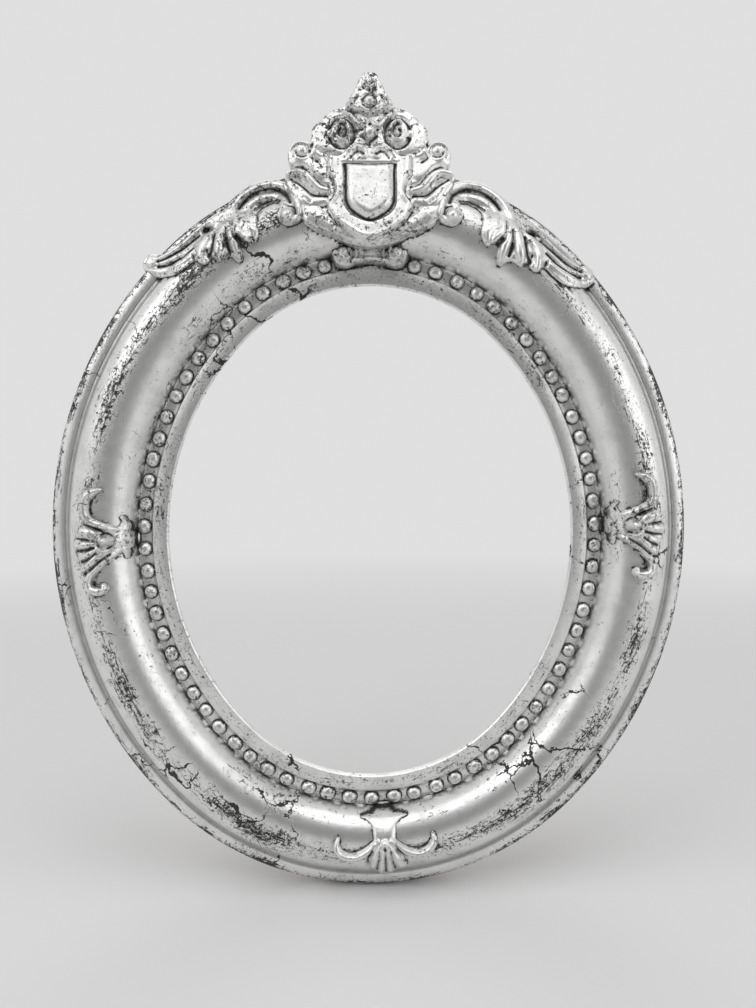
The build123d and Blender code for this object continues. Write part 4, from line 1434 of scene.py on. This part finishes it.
def floor_paper(setting):
    """White paper that fades into the backdrop."""
    paper = bpy.data.materials.new("floor_paper")
    tree = cleared(paper)
    place = add_node(tree, "ShaderNodeTexCoord").outputs["Object"]
    away = add_node(tree, "ShaderNodeVectorMath", {0: place}, operation="LENGTH").outputs["Value"]
    far = stepped(tree, away, FADE_START, FADE_END)
    matt = add_node(tree, "ShaderNodeBsdfDiffuse", {"Color": grey(PAPER_TONE)}).outputs["BSDF"]
    glow = glow_of(tree, setting.backdrop)
    mixed = add_node(tree, "ShaderNodeMixShader", {0: far, 1: matt, 2: glow})
    add_node(tree, "ShaderNodeOutputMaterial", {"Surface": mixed.outputs["Shader"]})
    return paper


def card_cloth():
    """Cloth of the dark card."""
    cloth = bpy.data.materials.new("dark_card_cloth")
    tree = cleared(cloth)
    add_node(tree, "ShaderNodeOutputMaterial", {"Surface": glow_of(tree, CARD_TONE)})
    return cloth


def sheet_of(name, bm, material):
    """An object of the stage from a bmesh."""
    mesh = bpy.data.meshes.new(name)
    bm.to_mesh(mesh)
    bm.free()
    mesh.materials.append(material)
    sheet = bpy.data.objects.new(name, mesh)
    bpy.context.scene.collection.objects.link(sheet)
    return sheet


class OVALFRAME_OT_stage(bpy.types.Operator):
    """Camera, floor, lamps and the room's light"""

    bl_idname = "oval_frame.stage"
    bl_label = "Camera and stage"

    def execute(self, context):
        setting = context.scene.oval_frame_stage
        scene = context.scene
        scene.view_settings.view_transform = "Standard"
        lens = bpy.data.cameras.new("camera")
        lens.sensor_width = SENSOR_WIDTH
        lens.lens = CAMERA_LENS
        lens.clip_start = 0.01
        camera = bpy.data.objects.new("camera", lens)
        camera.location = [value * MM for value in CAMERA_PLACE]
        camera.rotation_euler = [radians(angle) for angle in CAMERA_TURN]
        scene.collection.objects.link(camera)
        scene.camera = camera
        scene.world = room_light(setting)

        low = min(cad_low.z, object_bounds()[0].z)
        bm = bmesh.new()
        under = Matrix.Translation((0, 0, low - FLOOR_GAP))
        bmesh.ops.create_circle(bm, cap_ends=True, segments=96, radius=FLOOR_RADIUS, matrix=under)
        floor = sheet_of("floor", bm, floor_paper(setting))
        floor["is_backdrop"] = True

        for name, place, size, share in LAMPS:
            light = bpy.data.lights.new(name, "AREA")
            light.shape = "SQUARE"
            light.size = size
            light.energy = setting.lamp_power * share
            lamp = bpy.data.objects.new(name, light)
            lamp.location = place
            aim = Vector() - Vector(place)
            lamp.rotation_euler = aim.to_track_quat("-Z", "Y").to_euler()
            scene.collection.objects.link(lamp)

        bm = bmesh.new()
        upright = Matrix.Translation(CARD_PLACE) @ Matrix.Rotation(pi / 2, 4, "X")
        form = upright @ Matrix.Diagonal(CARD_SIZE)
        bmesh.ops.create_grid(bm, x_segments=1, y_segments=1, size=0.5, matrix=form)
        card = sheet_of("dark_card", bm, card_cloth())
        card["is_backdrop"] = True
        card.visible_camera = False
        card.visible_diffuse = False
        card.visible_shadow = False
        card.visible_transmission = False
        return {"FINISHED"}


class OVALFRAME_PT_pieces(bpy.types.Panel):
    """Lists the pieces and their sizes"""

    bl_label = "Oval Frame"
    bl_idname = "OVALFRAME_PT_pieces"
    bl_space_type = "VIEW_3D"
    bl_region_type = "UI"
    bl_category = "Oval Frame"

    def draw(self, context):
        for group in (
            context.scene.oval_frame_sizes,
            context.scene.oval_frame_finish,
            context.scene.oval_frame_stage,
        ):
            box = self.layout.box()
            for name in group.bl_rna.properties.keys():
                if name not in ("rna_type", "name"):
                    box.prop(group, name)
        for operator in OPERATORS:
            self.layout.operator(operator.bl_idname)


OPERATORS = (
    OVALFRAME_OT_moulding,
    OVALFRAME_OT_beads,
    OVALFRAME_OT_crest,
    OVALFRAME_OT_bridge_scroll,
    OVALFRAME_OT_wings,
    OVALFRAME_OT_palmettes,
    OVALFRAME_OT_back,
    OVALFRAME_OT_fittings,
    OVALFRAME_OT_patina_and_shade,
    OVALFRAME_OT_stage,
)
GROUPS = (FrameSizes, LeafFinish, StageSetting)


def register():
    for cls in (*GROUPS, *OPERATORS, OVALFRAME_PT_pieces):
        bpy.utils.register_class(cls)
    bpy.types.Scene.oval_frame_sizes = PointerProperty(type=FrameSizes)
    bpy.types.Scene.oval_frame_finish = PointerProperty(type=LeafFinish)
    bpy.types.Scene.oval_frame_stage = PointerProperty(type=StageSetting)


def unregister():
    del bpy.types.Scene.oval_frame_stage
    del bpy.types.Scene.oval_frame_finish
    del bpy.types.Scene.oval_frame_sizes
    for cls in reversed((*GROUPS, *OPERATORS, OVALFRAME_PT_pieces)):
        bpy.utils.unregister_class(cls)


def main():
    register()
    bpy.ops.oval_frame.moulding()
    bpy.ops.oval_frame.beads()
    bpy.ops.oval_frame.crest()
    bpy.ops.oval_frame.bridge_scroll()
    bpy.ops.oval_frame.wings()
    bpy.ops.oval_frame.palmettes()
    bpy.ops.oval_frame.back()
    bpy.ops.oval_frame.fittings()
    bpy.ops.oval_frame.patina()
    bpy.ops.oval_frame.stage()


if __name__ == "__main__":
    main()
